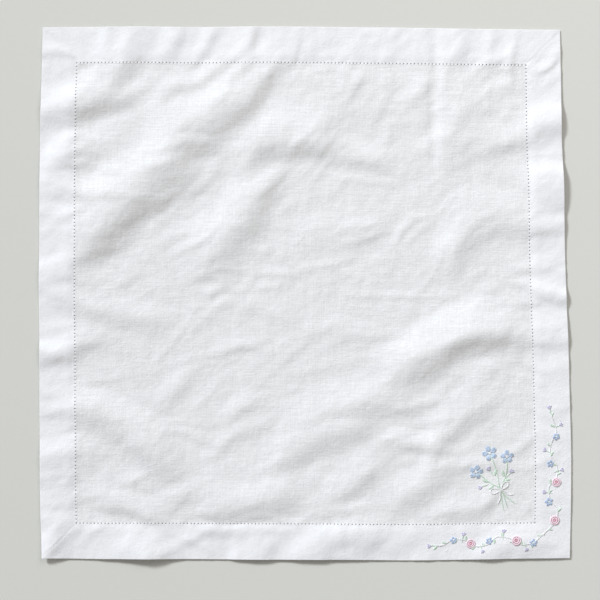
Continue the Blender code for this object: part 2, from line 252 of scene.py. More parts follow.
MIDDLE_CREASES = (
    Crease(6, 12, 0.6, ((-172, -6), (-156, 2), (-142, 11), (-128, 22))),
    Crease(8, 8, 0.6, ((-156, 32), (-147, 37), (-138, 42))),
    Crease(24, 30, 1.1, ((-10, 28), (16, 37), (40, 43), (66, 49))),
    Crease(11, 14, 1.0, ((108, -58), (121, -47), (135, -39), (150, -37), (164, -38), (178, -41))),
    Crease(26, 10, 0.6, ((104, -98), (118, -86), (132, -73), (146, -66))),
    Crease(12, 12, 0.8, ((136, 28), (146, 40), (158, 47), (172, 48))),
    Crease(11, 18, 1.1, ((-36, 103), (-18, 110), (2, 112), (22, 114), (42, 114), (60, 108))),
    Crease(9, 10, 0.5, ((18, 106), (36, 106), (52, 107), (70, 108))),
    Crease(7, 12, 0.9, ((-34, 80), (-25, 89), (-17, 98), (-8, 106))),
    Crease(6, 8, 1.0, ((-11, 114), (-5, 121), (2, 128))),
    Crease(4, 8, 0.6, ((8, 106), (14, 116), (20, 122))),
    Crease(4, 7, 0.6, ((6, 84), (8, 90), (12, 96))),
    Crease(4, 7, 0.7, ((36, 92), (44, 91), (52, 90))),
    Crease(8, 12, 1.0, ((-114, 38), (-101, 45), (-88, 48))),
    Crease(10, 12, 0.8, ((-134, 62), (-118, 70), (-102, 77))),
    Crease(5, 9, 0.9, ((-102, 32), (-92, 37), (-82, 42), (-74, 50))),
    Crease(4, 8, 0.6, ((-92, 10), (-80, 13), (-68, 10))),
    Crease(4, 7, 0.4, ((-58, 33), (-50, 35), (-40, 34))),
    Crease(4, 8, 0.6, ((-72, 18), (-60, 19), (-48, 18))),
    Crease(5, 9, 0.8, ((-86, 0), (-74, -2), (-64, 3), (-56, 0))),
    Crease(3, 7, 0.5, ((-40, 14), (-30, 16), (-18, 14), (-6, 18))),
    Crease(3, 7, 0.4, ((-36, 6), (-28, 4), (-20, 8))),
    Crease(8, 10, 1.0, ((26, 46), (40, 51), (54, 54), (66, 56))),
    Crease(6, 10, 1.0, ((32, 38), (44, 42), (54, 45), (66, 48))),
    Crease(4, 8, 0.5, ((8, 20), (18, 23), (30, 24), (42, 30))),
    Crease(4, 8, 0.6, ((10, 18), (20, 20), (28, 18))),
    Crease(5, 9, 0.7, ((70, 34), (75, 42), (80, 50), (90, 58), (102, 62))),
    Crease(4, 8, 0.6, ((60, 26), (68, 27), (74, 32))),
    Crease(5, 8, 0.6, ((84, 42), (90, 46), (96, 52))),
    Crease(3, 7, 0.5, ((24, 11), (32, 13), (44, 18))),
    Crease(3, 6, 0.5, ((100, 12), (104, 18), (108, 26))),
    Crease(3, 8, 0.5, ((20, -2), (50, -2), (80, -3), (110, -3), (132, -4))),
    Crease(8, 12, 0.6, ((134, -22), (142, -12), (150, -2), (158, 4))),
    Crease(8, 12, 0.8, ((150, -8), (164, -8), (180, -9), (192, -8))),
    Crease(11, 14, 1.0, ((0, -40), (12, -34), (22, -31), (34, -30))),
    Crease(8, 12, 1.0, ((22, -44), (34, -39), (48, -36), (60, -37), (76, -35))),
    Crease(3, 7, 0.4, ((30, -26), (44, -26), (58, -26), (70, -22))),
    Crease(3, 8, 0.5, ((-124, -60), (-112, -46), (-104, -36), (-96, -26), (-88, -16))),
    Crease(5, 8, 0.5, ((-98, -56), (-88, -52), (-78, -50))),
    Crease(5, 9, 0.6, ((-84, -24), (-78, -18), (-72, -14))),
    Crease(9, 14, 0.8, ((-60, -16), (-44, -14), (-30, -18), (-20, -22), (-8, -26))),
    Crease(4, 8, 0.6, ((-56, -42), (-46, -44), (-38, -40))),
    Crease(7, 12, 0.8, ((-80, -56), (-62, -48), (-48, -44), (-36, -46))),
    Crease(5, 9, 0.7, ((-22, -60), (-14, -52), (-8, -46))),
    Crease(4, 7, 0.5, ((4, -62), (10, -61), (16, -60))),
)
LOWER_CREASES = (
    Crease(24, 20, 0.7, ((-186, -158), (-150, -163), (-114, -165), (-80, -168))),
    Crease(30, 24, 0.4, ((-20, -120), (20, -108), (60, -102), (98, -98))),
    Crease(30, 30, 1.0, ((-132, -163), (-92, -163), (-52, -160), (-12, -157), (22, -149))),
    Crease(14, 24, 1.6, ((-30, -111), (-12, -108), (6, -102), (24, -94), (42, -88), (60, -85), (78, -84), (96, -81))),
    Crease(14, 18, 1.3, ((-159, -114), (-137, -128), (-117, -145), (-92, -156))),
    Crease(12, 14, 0.7, ((-72, -110), (-55, -101), (-37, -94), (-18, -89))),
    Crease(13, 12, 1.6, ((58, -131), (74, -123), (92, -124), (112, -131))),
    Crease(18, 16, 1.3, ((-118, -180), (-97, -172), (-78, -168), (-58, -164))),
    Crease(11, 16, 1.0, ((-126, -104), (-112, -92), (-102, -82), (-92, -68), (-84, -56))),
    Crease(6, 10, 0.6, ((-90, -96), (-80, -86), (-72, -76))),
    Crease(6, 10, 0.7, ((-168, -72), (-158, -70), (-148, -68))),
    Crease(3, 6, 0.6, ((-112, -112), (-106, -106), (-100, -106))),
    Crease(6, 10, 0.8, ((-114, -112), (-104, -114), (-92, -116), (-82, -120), (-72, -122))),
    Crease(7, 10, 0.7, ((-150, -156), (-138, -152), (-128, -148))),
    Crease(5, 9, 0.6, ((-180, -168), (-174, -166), (-168, -166))),
    Crease(9, 14, 0.7, ((-112, -176), (-102, -170), (-94, -162))),
    Crease(7, 12, 0.7, ((-94, -160), (-84, -156), (-76, -150))),
    Crease(11, 18, 0.9, ((-66, -108), (-52, -98), (-40, -88), (-34, -76))),
    Crease(10, 14, 1.1, ((-78, -143), (-66, -127), (-54, -116), (-41, -111), (-24, -108))),
    Crease(9, 12, 0.7, ((-42, -151), (-26, -143), (-10, -137), (8, -133))),
    Crease(5, 10, 0.8, ((-96, -184), (-86, -180), (-76, -181), (-64, -184))),
    Crease(4, 8, 0.9, ((-66, -186), (-48, -183), (-30, -182), (-18, -184))),
    Crease(8, 12, 0.6, ((-2, -160), (8, -152), (16, -142))),
    Crease(9, 9, 1.3, ((6, -184), (22, -181), (42, -178), (62, -174))),
    Crease(10, 14, 1.0, ((100, -146), (105, -134), (109, -122), (113, -112))),
    Crease(13, 14, 0.8, ((127, -96), (140, -77), (156, -62), (178, -54))),
    Crease(6, 10, 1.0, ((166, -130), (176, -124), (186, -115))),
    Crease(8, 12, 1.0, ((112, -145), (128, -143), (146, -140), (162, -140))),
    Crease(7, 10, 0.8, ((72, -132), (84, -126), (98, -126), (110, -128))),
    Crease(4, 8, 0.5, ((92, -92), (100, -90), (108, -88))),
    Crease(4, 8, 0.5, ((90, -106), (98, -105), (104, -104))),
    Crease(5, 8, 0.5, ((78, -114), (84, -112), (90, -110))),
)
LOWER_HEM_CREASES = (
    Crease(30, 28, 1.4, ((-138, -262), (-138, -214), (-139, -204), (-141, -194))),
    Crease(11, 10, 1.3, ((-92, -196), (-74, -195), (-58, -195), (-40, -193))),
    Crease(14, 14, 1.3, ((-51, -238), (-49, -216), (-47, -204), (-45, -196))),
    Crease(8, 11, 1.1, ((0, -228), (16, -220), (34, -216), (52, -214))),
    Crease(3, 10, 0.9, ((-101, -197), (-95, -199.5), (-88, -203), (-81, -207))),
    Crease(6, 9, 0.9, ((-90, -200), (-82, -196), (-74, -191))),
    Crease(9, 12, 0.9, ((-130, -220), (-118, -214), (-104, -209))),
    Crease(8, 12, 0.7, ((-176, -200), (-168, -194), (-160, -190))),
    Crease(8, 14, 0.7, ((-150, -212), (-142, -202), (-134, -192))),
    Crease(7, 12, 0.4, ((-36, -214), (-24, -208), (-14, -200))),
    Crease(6, 10, 0.6, ((-34, -192), (-22, -193), (-8, -192))),
    Crease(9, 14, 0.5, ((34, -214), (46, -209), (58, -204), (70, -203))),
    Crease(10, 16, 0.5, ((72, -212), (86, -203), (100, -194))),
)
RIGHT_HEM_CREASES = (
    Crease(12, 18, 0.6, ((172, 103), (186, 105), (200, 108), (222, 110))),
    Crease(10, 15, 1.5, ((176, 49), (190, 50), (206, 51), (234, 51))),
    Crease(6, 10, 0.9, ((180, 6), (191, 4), (203, 2), (220, 0))),
    Crease(16, 26, 0.9, ((178, 71), (192, 72), (208, 72), (236, 72))),
    Crease(6, 10, 0.7, ((168, 18), (178, 20), (184, 22))),
    Crease(5, 9, 0.6, ((182, 20), (190, 18), (200, 21))),
    Crease(6, 10, 0.5, ((186, -60), (196, -64), (206, -62))),
    Crease(5, 10, 0.5, ((192, -88), (200, -92), (208, -90))),
    Crease(6, 10, 0.6, ((188, -96), (200, -98), (212, -94))),
    Crease(6, 10, 0.8, ((176, -142), (182, -142), (190, -138))),
    Crease(2.4, 8, 0.8, ((178, 183), (186, 181), (194, 181), (200, 187), (208, 196))),
)
# Lines where the cloth was pressed in four: each pair makes a shallow valley
PRESSED_LINES = (
    Crease(7, 30, 0.9, ((99, 80), (99, 130), (99, 180), (99, 236))),
    Crease(28, 10, 1.4, ((125, 82), (125, 130), (125, 180), (125, 236))),
    Crease(6, 14, 0.3, ((132, 60), (133, 90), (133, 120))),
    Crease(6, 14, 0.3, ((139, 120), (139, 90), (138, 60))),
    Crease(5, 10, 0.25, ((150, 146), (151, 164), (151, 180))),
    Crease(5, 10, 0.25, ((156, 180), (156, 164), (155, 146))),
)
CREASES = (
    LEFT_HEM_CREASES + TOP_HEM_CREASES + UPPER_CREASES + MIDDLE_CREASES
    + LOWER_CREASES + LOWER_HEM_CREASES + RIGHT_HEM_CREASES + PRESSED_LINES
)

# Crumpling too small to list one by one: its wavelengths along and across the folds, in millimetres
FOLD_LEAN = math.radians(38)
CRUMPLE_LENGTH = 34.0
CRUMPLE_BREADTH = 15.0
CRUMPLE_HEIGHT = 0.56
CREASE_SIZE = 12.0
CREASE_HEIGHT = 0.5
RUMPLE_SIZE = 5.0
RUMPLE_HEIGHT = 0.16
HEM_WAVE_PITCH = 15.0
HEM_WAVE_HEIGHT = 0.4
PUCKER_PITCH = 5.0
PUCKER_REACH = 5.0
PUCKER_HEIGHT = 0.45
SEAM_RISE = 0.12
SEAM_REACH = 3.0

# The hem's cross-section
HEM_STATIONS = 12
FOLD_ROUNDING = 0.35
TURN_IN_WIDTH = 9.0
TURN_IN_HEIGHT = 0.08
STITCHED_DIP = 0.22
STITCHED_REACH = 5.0
MITRE_DEPTH = 0.1
MITRE_HALF_WIDTH = 1.1


def smoothstep(value):
    """Ease a value from 0 to 1 with level ends."""
    held = np.clip(value, 0.0, 1.0)
    return held * held * (3.0 - 2.0 * held)


def through_points(rows, places):
    """Smooth curve through evenly counted rows, read at places given in rows."""
    rows = np.asarray(rows, dtype=float)
    last = len(rows) - 1
    start = np.clip(np.floor(places).astype(int), 0, last - 1)
    part = (places - start).reshape(-1, *([1] * (rows.ndim - 1)))
    before = rows[np.clip(start - 1, 0, last)]
    here = rows[start]
    after = rows[start + 1]
    beyond = rows[np.clip(start + 2, 0, last)]
    curve = 2.0 * here
    curve = curve + (after - before) * part
    curve = curve + (2.0 * before - 5.0 * here + 4.0 * after - beyond) * part ** 2
    curve = curve + (3.0 * here - before - 3.0 * after + beyond) * part ** 3
    return 0.5 * curve


def edge_drift(side, along):
    """Drift of one edge at positions along it."""
    spacing = EDGES[1].station - EDGES[0].station
    places = (np.asarray(along, dtype=float) - EDGES[0].station) / spacing
    drift = [getattr(row, side) for row in EDGES]
    return through_points(drift, np.clip(places, 0.0, len(EDGES) - 1.0))


def to_outline(across, along):
    """Move points of the square cloth onto its true, slightly uneven outline."""
    from_left = (across + HALF) / SIDE
    from_bottom = (along + HALF) / SIDE
    left, right = edge_drift("left", along), edge_drift("right", along)
    bottom, top = edge_drift("bottom", across), edge_drift("top", across)
    shift_x = left * (1.0 - from_left) + right * from_left
    shift_y = bottom * (1.0 - from_bottom) + top * from_bottom
    return across + shift_x, along + shift_y


def wander(across, along):
    """Points nudged by smooth noise, so that no fold runs like a ruled line."""
    moved = np.empty((len(across), 2))
    for index, (x, y) in enumerate(zip(across, along)):
        drift = noise.noise_vector(Vector((x / WANDER_SIZE, y / WANDER_SIZE, WANDER_SEED)))
        moved[index] = (x + WANDER_REACH * drift.x, y + WANDER_REACH * drift.y)
    return moved


def fold_path(fold):
    """Even samples of a fold's path, their right-hand directions, flanks and drops."""
    corners = np.asarray(fold.path, dtype=float)
    length = np.sum(np.hypot(*np.diff(corners, axis=0).T))
    count = max(LEAST_SAMPLES, int(math.ceil(length / PATH_STEP)))
    share = np.linspace(0.0, 1.0, count)
    samples = through_points(corners, share * (len(corners) - 1))
    ahead = np.gradient(samples, axis=0)
    ahead /= np.hypot(*ahead.T)[:, None]
    right_hand = np.stack([ahead[:, 1], -ahead[:, 0]], axis=1)
    flanks = fold.flank_start + (fold.flank_end - fold.flank_start) * share
    from_end = np.minimum(share, 1.0 - share) - LEVEL_END_SHARE
    drops = DROP_SHARE * fold.drop * smoothstep(from_end / FADE_SHARE)
    return samples, right_hand, flanks, drops


def fold_height(points, fold):
    """Height that one fold adds at an array of points."""
    samples, right_hand, flanks, drops = fold_path(fold)
    reach = fold.rise + max(fold.flank_start, fold.flank_end) + NEAR_MARGIN
    low = samples.min(axis=0) - reach
    high = samples.max(axis=0) + reach
    near = np.all((points > low) & (points < high), axis=1)
    height = np.zeros(len(points))
    if not near.any():
        return height
    offsets = points[near][:, None, :] - samples[None, :, :]
    squared = np.sum(offsets ** 2, axis=2)
    closest = squared.min(axis=1, keepdims=True)
    weights = np.exp((closest - squared) / (2.0 * PATH_BLEND ** 2))
    weights /= weights.sum(axis=1, keepdims=True)
    beside = np.sum(weights * np.sum(offsets * right_hand[None], axis=2), axis=1)
    flank = weights @ flanks
    drop = weights @ drops
    down = (beside + flank / 2 - LEAN) / flank
    up = (LEAN - beside - flank / 2) / (RISE_SHARE * fold.rise)
    height[near] = drop * (1.0 - smoothstep(np.where(down > 0.0, down, up)))
    return height


def as_fold(crease):
    """A crease as a fold of even flank."""
    return Fold("", crease.flank, crease.flank, crease.rise, crease.drop, crease.path)


def crumple(x, y):
    """Small uneven waves, longer along the folds than across them, with sharp creases."""
    lean_x, lean_y = math.cos(FOLD_LEAN), math.sin(FOLD_LEAN)
    height = np.empty(len(x))
    for index, (a, b) in enumerate(zip(x, y)):
        along = (a * lean_x + b * lean_y) / CRUMPLE_LENGTH
        beside = (b * lean_x - a * lean_y) / CRUMPLE_BREADTH
        wave = noise.fractal(Vector((along, beside, 2.0)), 0.9, 2.0, 3)
        bend = 0.6 * noise.noise_vector(Vector((a / CRUMPLE_LENGTH, b / CRUMPLE_LENGTH, 4.0)))
        creased = abs(noise.noise(Vector((a / CREASE_SIZE, b / CREASE_SIZE, 9.0)) + bend))
        dimple = noise.fractal(Vector((a / RUMPLE_SIZE, b / RUMPLE_SIZE, 6.0)), 0.9, 2.0, 2)
        height[index] = (CRUMPLE_HEIGHT * (0.5 + 0.5 * wave) + CREASE_HEIGHT * creased
                         + RUMPLE_HEIGHT * (0.5 + 0.5 * dimple))
    return height


def hem_waves(across, along, hem_line):
    """Ripples across the folded hem, and the seam's own rise where it meets the field."""
    reach = np.maximum(np.abs(across), np.abs(along))
    sideways = np.abs(across) > np.abs(along)
    run = np.where(sideways, along, across)
    side = np.where(sideways, np.sign(across) * 3.0, np.sign(along) * 7.0)
    on_hem = smoothstep((reach - hem_line) / 5.0)
    height = np.empty(len(run))
    for index, (s, k, deep) in enumerate(zip(run, side, reach)):
        wave = noise.fractal(Vector((s / HEM_WAVE_PITCH, k, deep / 60.0)), 0.8, 2.0, 3)
        height[index] = 0.5 + 0.5 * wave
    seam = SEAM_RISE * np.exp(-np.abs(reach - hem_line) / SEAM_REACH)
    return HEM_WAVE_HEIGHT * on_hem * height + seam


def pucker(across, along, hem_line):
    """Short gathers that the pulled stitches leave on both sides of the hem line."""
    reach = np.maximum(np.abs(across), np.abs(along))
    sideways = np.abs(across) > np.abs(along)
    run = np.where(sideways, along, across)
    side = np.where(sideways, np.sign(across) * 3.0, np.sign(along) * 7.0)
    near = np.exp(-np.abs(reach - hem_line) / PUCKER_REACH)
    height = np.empty(len(run))
    for index, (s, k, gap) in enumerate(zip(run, side, reach - hem_line)):
        wave = noise.noise(Vector((s / PUCKER_PITCH, k, gap / (4.0 * PUCKER_PITCH))))
        height[index] = max(0.0, wave)
    return PUCKER_HEIGHT * near * height


def cloth_height(across, along, hem_line):
    """True place of points of the square cloth and the height of the underside there."""
    x, y = to_outline(across, along)
    points = wander(x, y)
    height = sum(fold_height(points, fold) for fold in FOLDS)
    height += sum(fold_height(points, as_fold(crease)) for crease in CREASES)
    height += crumple(x, y)
    height += hem_waves(across, along, hem_line)
    height += pucker(across, along, hem_line)
    return x, y, height


def cloth_points(across, along, lift, hem_line):
    """Points on the cloth, in metres, lifted over its underside by a height in millimetres."""
    x, y, height = cloth_height(across, along, hem_line)
    return np.stack([x, y, height + lift], axis=1) * MM


def cloth_normals(across, along, hem_line):
    """Directions that stand on the cloth."""
    step = 0.6
    here = cloth_height(across, along, hem_line)[2]
    right = cloth_height(across + step, along, hem_line)[2]
    ahead = cloth_height(across, along + step, hem_line)[2]
    normals = np.stack([(here - right) / step, (here - ahead) / step, np.ones(len(here))], axis=1)
    return normals / np.linalg.norm(normals, axis=1, keepdims=True)


class ClothSettings(PropertyGroup):
    """Sizes and colours of the linen"""
    hem_width: FloatProperty(
        name="Hem width", description="Width of the folded hem", default=0.0286, unit="LENGTH")
    drawn_gap: FloatProperty(
        name="Drawn gap", description="Width of the drawn-thread row", default=0.0007, unit="LENGTH")
    field_thickness: FloatProperty(
        name="Field thickness", description="One layer of linen", default=0.0003, unit="LENGTH")
    hem_thickness: FloatProperty(
        name="Hem thickness", description="The folded layers", default=0.0005, unit="LENGTH")
    mesh_step: FloatProperty(
        name="Mesh step", description="Spacing of the cloth's points", default=0.00206, unit="LENGTH")
    thread_pitch: FloatProperty(
        name="Thread pitch", description="Distance from yarn to yarn", default=0.00042, unit="LENGTH")
    field_colour: FloatVectorProperty(
        name="Field colour", description="Sheer linen", default=(0.930, 0.922, 0.928),
        size=3, subtype="COLOR", min=0.0, max=1.0)
    hem_colour: FloatVectorProperty(
        name="Hem colour", description="Doubled linen", default=(0.912, 0.905, 0.924),
        size=3, subtype="COLOR", min=0.0, max=1.0)
    cover: FloatProperty(
        name="Cover", description="How much one face of the sheer field hides", default=0.93,
        min=0.0, max=1.0, subtype="FACTOR")


class StitchSettings(PropertyGroup):
    """Sizes and thread colours of the hemstitching and the embroidery"""
    hole_pitch: FloatProperty(
        name="Hole pitch", description="Distance from hole to hole", default=0.0029, unit="LENGTH")
    bundle_width: FloatProperty(
        name="Bundle width", description="Threads left between two holes", default=0.0029,
        unit="LENGTH")
    thread_width: FloatProperty(
        name="Thread width", description="Width of one embroidery strand", default=0.00046,
        unit="LENGTH")
    seed: IntProperty(name="Seed", description="Seed of the stitches' unevenness", default=7)
    blue: FloatVectorProperty(
        name="Blue", description="Pale blue thread", default=(0.60, 0.72, 0.89),
        size=3, subtype="COLOR", min=0.0, max=1.0)
    deep_blue: FloatVectorProperty(
        name="Deep blue", description="Blue thread of the small blooms", default=(0.52, 0.64, 0.85),
        size=3, subtype="COLOR", min=0.0, max=1.0)
    pink: FloatVectorProperty(
        name="Pink", description="Outer petals of the roses", default=(1.0, 0.74, 0.82),
        size=3, subtype="COLOR", min=0.0, max=1.0)
    deep_pink: FloatVectorProperty(
        name="Deep pink", description="Hearts of the roses", default=(1.0, 0.47, 0.58),
        size=3, subtype="COLOR", min=0.0, max=1.0)
    lilac: FloatVectorProperty(
        name="Lilac", description="Buds", default=(0.70, 0.66, 0.84),
        size=3, subtype="COLOR", min=0.0, max=1.0)
    green: FloatVectorProperty(
        name="Green", description="Leaves and stems", default=(0.70, 0.84, 0.71),
        size=3, subtype="COLOR", min=0.0, max=1.0)
    white: FloatVectorProperty(
        name="White", description="White thread", default=(0.97, 0.97, 0.97),
        size=3, subtype="COLOR", min=0.0, max=1.0)


class StageSettings(PropertyGroup):
    """Floor, light and camera"""
    floor_colour: FloatVectorProperty(
        name="Floor colour", description="Plain pale surface", default=(0.712, 0.704, 0.658),
        size=3, subtype="COLOR", min=0.0, max=1.0)
    key_strength: FloatProperty(
        name="Key strength", description="Light from the upper left", default=2.85)
    key_softness: FloatProperty(
        name="Key softness", description="Spread of the key light", default=math.radians(13),
        subtype="ANGLE")
    key_bearing: FloatProperty(
        name="Key bearing", description="Where the key comes from, from +X", default=math.radians(134),
        subtype="ANGLE")
    key_height: FloatProperty(
        name="Key height", description="Height of the key over the floor", default=math.radians(31),
        subtype="ANGLE")
    fill_strength: FloatProperty(
        name="Fill strength", description="Even light from all round", default=0.325)
    wash_power: FloatProperty(
        name="Wash power", description="Broad light from the upper right, in watts", default=4.8)
    view_width: FloatProperty(
        name="View width", description="Width of floor in view", default=0.486, unit="LENGTH")
    camera_height: FloatProperty(
        name="Camera height", description="Height over the cloth", default=2.4, unit="LENGTH")


def settings(context):
    """The three groups of settings."""
    scene = context.scene
    return scene.handkerchief_cloth, scene.handkerchief_stitches, scene.handkerchief_stage


def add_node(tree, kind, values=(), **sockets):
    """Add a node, set its properties, and link or fill its inputs by name."""
    node = tree.nodes.new(kind)
    for name, value in dict(values).items():
        setattr(node, name, value)
    for name, value in sockets.items():
        connect(tree, value, node.inputs[name.replace("_", " ")])
    return node


def connect(tree, value, socket):
    """Link an output to an input, or set the input's own value."""
    if isinstance(value, bpy.types.NodeSocket):
        tree.links.new(value, socket)
    else:
        socket.default_value = value


def math_node(tree, operation, first, second=0.0):
    """One step of arithmetic."""
    node = tree.nodes.new("ShaderNodeMath")
    node.operation = operation
    connect(tree, first, node.inputs[0])
    connect(tree, second, node.inputs[1])
    return node.outputs[0]


def mix_colour(tree, factor, first, second):
    """Blend between two colours."""
    node = tree.nodes.new("ShaderNodeMix")
    node.data_type = "RGBA"
    connect(tree, factor, node.inputs["Factor"])
    for value, socket in ((first, node.inputs[6]), (second, node.inputs[7])):
        connect(tree, value, socket)
    return node.outputs[2]


def opaque(colour):
    """A colour property with full alpha."""
    return (*colour, 1.0)


def new_group(name, kind, inputs, outputs):
    """A node group with named sockets, and its input and output nodes."""
    tree = bpy.data.node_groups.new(name, kind)
    for label, socket_type, value in inputs:
        socket = tree.interface.new_socket(label, in_out="INPUT", socket_type=socket_type)
        if value is not None:
            socket.default_value = value
    for label, socket_type in outputs:
        tree.interface.new_socket(label, in_out="OUTPUT", socket_type=socket_type)
    return tree, tree.nodes.new("NodeGroupInput"), tree.nodes.new("NodeGroupOutput")


def streaks(tree, place, stretch, seed):
    """Soft uneven streaks that run along one direction of the weave."""
    scaled = add_node(tree, "ShaderNodeVectorMath", {"operation": "MULTIPLY"})
    connect(tree, place, scaled.inputs[0])
    connect(tree, stretch, scaled.inputs[1])
    moved = add_node(tree, "ShaderNodeVectorMath", {"operation": "ADD"})
    connect(tree, scaled.outputs[0], moved.inputs[0])
    connect(tree, (seed, seed, seed), moved.inputs[1])
    grain = add_node(tree, "ShaderNodeTexNoise", Vector=moved.outputs[0], Scale=1.0, Detail=3.0,
                     Roughness=0.6)
    return grain.outputs["Fac"]


def thread_wave(tree, place, axis, pitch):
    """Ridges of single yarns, from 0 to 1."""
    split = add_node(tree, "ShaderNodeSeparateXYZ", Vector=place)
    turns = math_node(tree, "MULTIPLY", split.outputs[axis], 2.0 * math.pi / pitch)
    wave = math_node(tree, "SINE", turns)
    return math_node(tree, "MULTIPLY_ADD", wave, 0.5)


def linen_group(thread_pitch):
    """Plain-woven linen with slubs: a tone, a height and a cover, from a place in millimetres."""
    name = "linen_weave"
    if name in bpy.data.node_groups:
        return bpy.data.node_groups[name]
    tree, given, result = new_group(
        name, "ShaderNodeTree",
        [("Place", "NodeSocketVector", None), ("Slub", "NodeSocketFloat", 1.0)],
        [("Tone", "NodeSocketFloat"), ("Height", "NodeSocketFloat"), ("Cover", "NodeSocketFloat")])
    place = given.outputs["Place"]
    warp = math_node(tree, "SUBTRACT", streaks(tree, place, (1.15, 0.045, 0.0), 3.0), 0.5)
    weft = math_node(tree, "SUBTRACT", streaks(tree, place, (0.04, 1.0, 0.0), 19.0), 0.5)
    slubs = math_node(tree, "ADD", math_node(tree, "MULTIPLY", warp, 0.42),
                      math_node(tree, "MULTIPLY", weft, 0.56))
    slubs = math_node(tree, "MULTIPLY", slubs, given.outputs["Slub"])
    grain = add_node(tree, "ShaderNodeTexNoise", Vector=place, Scale=0.3, Detail=3.0,
                     Roughness=0.8)
    short_warp = streaks(tree, place, (0.9, 0.22, 0.0), 31.0)
    short_weft = streaks(tree, place, (0.2, 0.9, 0.0), 47.0)
    nubs = math_node(tree, "ADD", short_warp, short_weft)
    nubs = math_node(tree, "ADD", nubs, math_node(tree, "MULTIPLY", grain.outputs["Fac"], 3.2))
    nubs = math_node(tree, "SUBTRACT", nubs, 2.6)
    up = thread_wave(tree, place, 0, thread_pitch)
    over = thread_wave(tree, place, 1, thread_pitch)
    weave = math_node(tree, "MULTIPLY", up, over)
    blotch = add_node(tree, "ShaderNodeTexNoise", Vector=place, Scale=0.045, Detail=2.0)
    tone = math_node(tree, "ADD", math_node(tree, "MULTIPLY", slubs, 1.5), 0.5)
    shade = math_node(tree, "SUBTRACT", blotch.outputs["Fac"], 0.5)
    tone = math_node(tree, "ADD", tone, math_node(tree, "MULTIPLY", shade, 0.5))
    tone = math_node(tree, "ADD", tone, math_node(tree, "MULTIPLY", nubs, 0.85))
    height = math_node(tree, "ADD", math_node(tree, "MULTIPLY", slubs, 0.8),
                       math_node(tree, "MULTIPLY", weave, 0.3))
    height = math_node(tree, "ADD", height, math_node(tree, "MULTIPLY", nubs, 2.2))
    cover = math_node(tree, "MULTIPLY", slubs, 0.5)
    connect(tree, tone, result.inputs["Tone"])
    connect(tree, height, result.inputs["Height"])
    connect(tree, cover, result.inputs["Cover"])
    return tree


def linen_material(name, colour, dark_share, cover, cloth, relief):
    """Matt linen that follows the cloth's own flat map, sheer where its cover is under 1."""
    material = bpy.data.materials.new(name)
    material.use_nodes = True
    tree = material.node_tree
    shader = tree.nodes["Principled BSDF"]
    flat = add_node(tree, "ShaderNodeUVMap", {"uv_map": "flat"})
    place = add_node(tree, "ShaderNodeMapping", Vector=flat.outputs["UV"], Scale=(SIDE, SIDE, 1.0))
    weave = tree.nodes.new("ShaderNodeGroup")
    weave.node_tree = linen_group(cloth.thread_pitch / MM)
    connect(tree, place.outputs[0], weave.inputs["Place"])
    dark = tuple(channel * dark_share for channel in colour)
    linen = mix_colour(tree, weave.outputs["Tone"], opaque(dark), opaque(colour))
    connect(tree, linen, shader.inputs["Base Color"])
    shader.inputs["Roughness"].default_value = 0.88
    shader.inputs["Sheen Weight"].default_value = 0.08
    shader.inputs["Sheen Roughness"].default_value = 0.5
    shader.inputs["Specular IOR Level"].default_value = 0.25
    bump = add_node(tree, "ShaderNodeBump", Strength=relief, Distance=0.00012,
                    Height=weave.outputs["Height"])
    connect(tree, bump.outputs[0], shader.inputs["Normal"])
    if cover < 1.0:
        sheer = math_node(tree, "ADD", weave.outputs["Cover"], cover)
        held = add_node(tree, "ShaderNodeClamp", Value=sheer, Min=0.3, Max=1.0)
        connect(tree, held.outputs[0], shader.inputs["Alpha"])
    return material


def thread_material(name, colour):
    """Stranded embroidery cotton with a soft gloss, uneven from stitch to stitch."""
    material = bpy.data.materials.new(name)
    material.use_nodes = True
    tree = material.node_tree
    shader = tree.nodes["Principled BSDF"]
    tone = add_node(tree, "ShaderNodeAttribute", {"attribute_name": "stitch_tone"})
    place = add_node(tree, "ShaderNodeTexCoord")
    strands = add_node(tree, "ShaderNodeTexNoise", Vector=place.outputs["Object"], Scale=2600.0,
                       Detail=2.0)
    dark = tuple(channel * 0.88 for channel in colour)
    light = tuple(min(1.0, channel * 1.06 + 0.02) for channel in colour)
    mixed = mix_colour(tree, tone.outputs["Fac"], opaque(dark), opaque(light))
    connect(tree, mixed, shader.inputs["Base Color"])
    shader.inputs["Roughness"].default_value = 0.5
    shader.inputs["Sheen Weight"].default_value = 0.1
    bump = add_node(tree, "ShaderNodeBump", Strength=0.35, Distance=0.0001,
                    Height=strands.outputs["Fac"])
    connect(tree, bump.outputs[0], shader.inputs["Normal"])
    return material


def grid_quads(index, wrap_rows=False, wrap_columns=False):
    """Quads between the neighbours of a grid of point numbers, counter-clockwise by row."""
    below = index if wrap_rows else index[:-1]
    above = np.roll(index, -1, axis=0) if wrap_rows else index[1:]
    if wrap_columns:
        left_low, right_low = below, np.roll(below, -1, axis=1)
        left_high, right_high = above, np.roll(above, -1, axis=1)
    else:
        left_low, right_low = below[:, :-1], below[:, 1:]
        left_high, right_high = above[:, :-1], above[:, 1:]
    return np.stack([left_low, right_low, right_high, left_high], axis=-1).reshape(-1, 4)


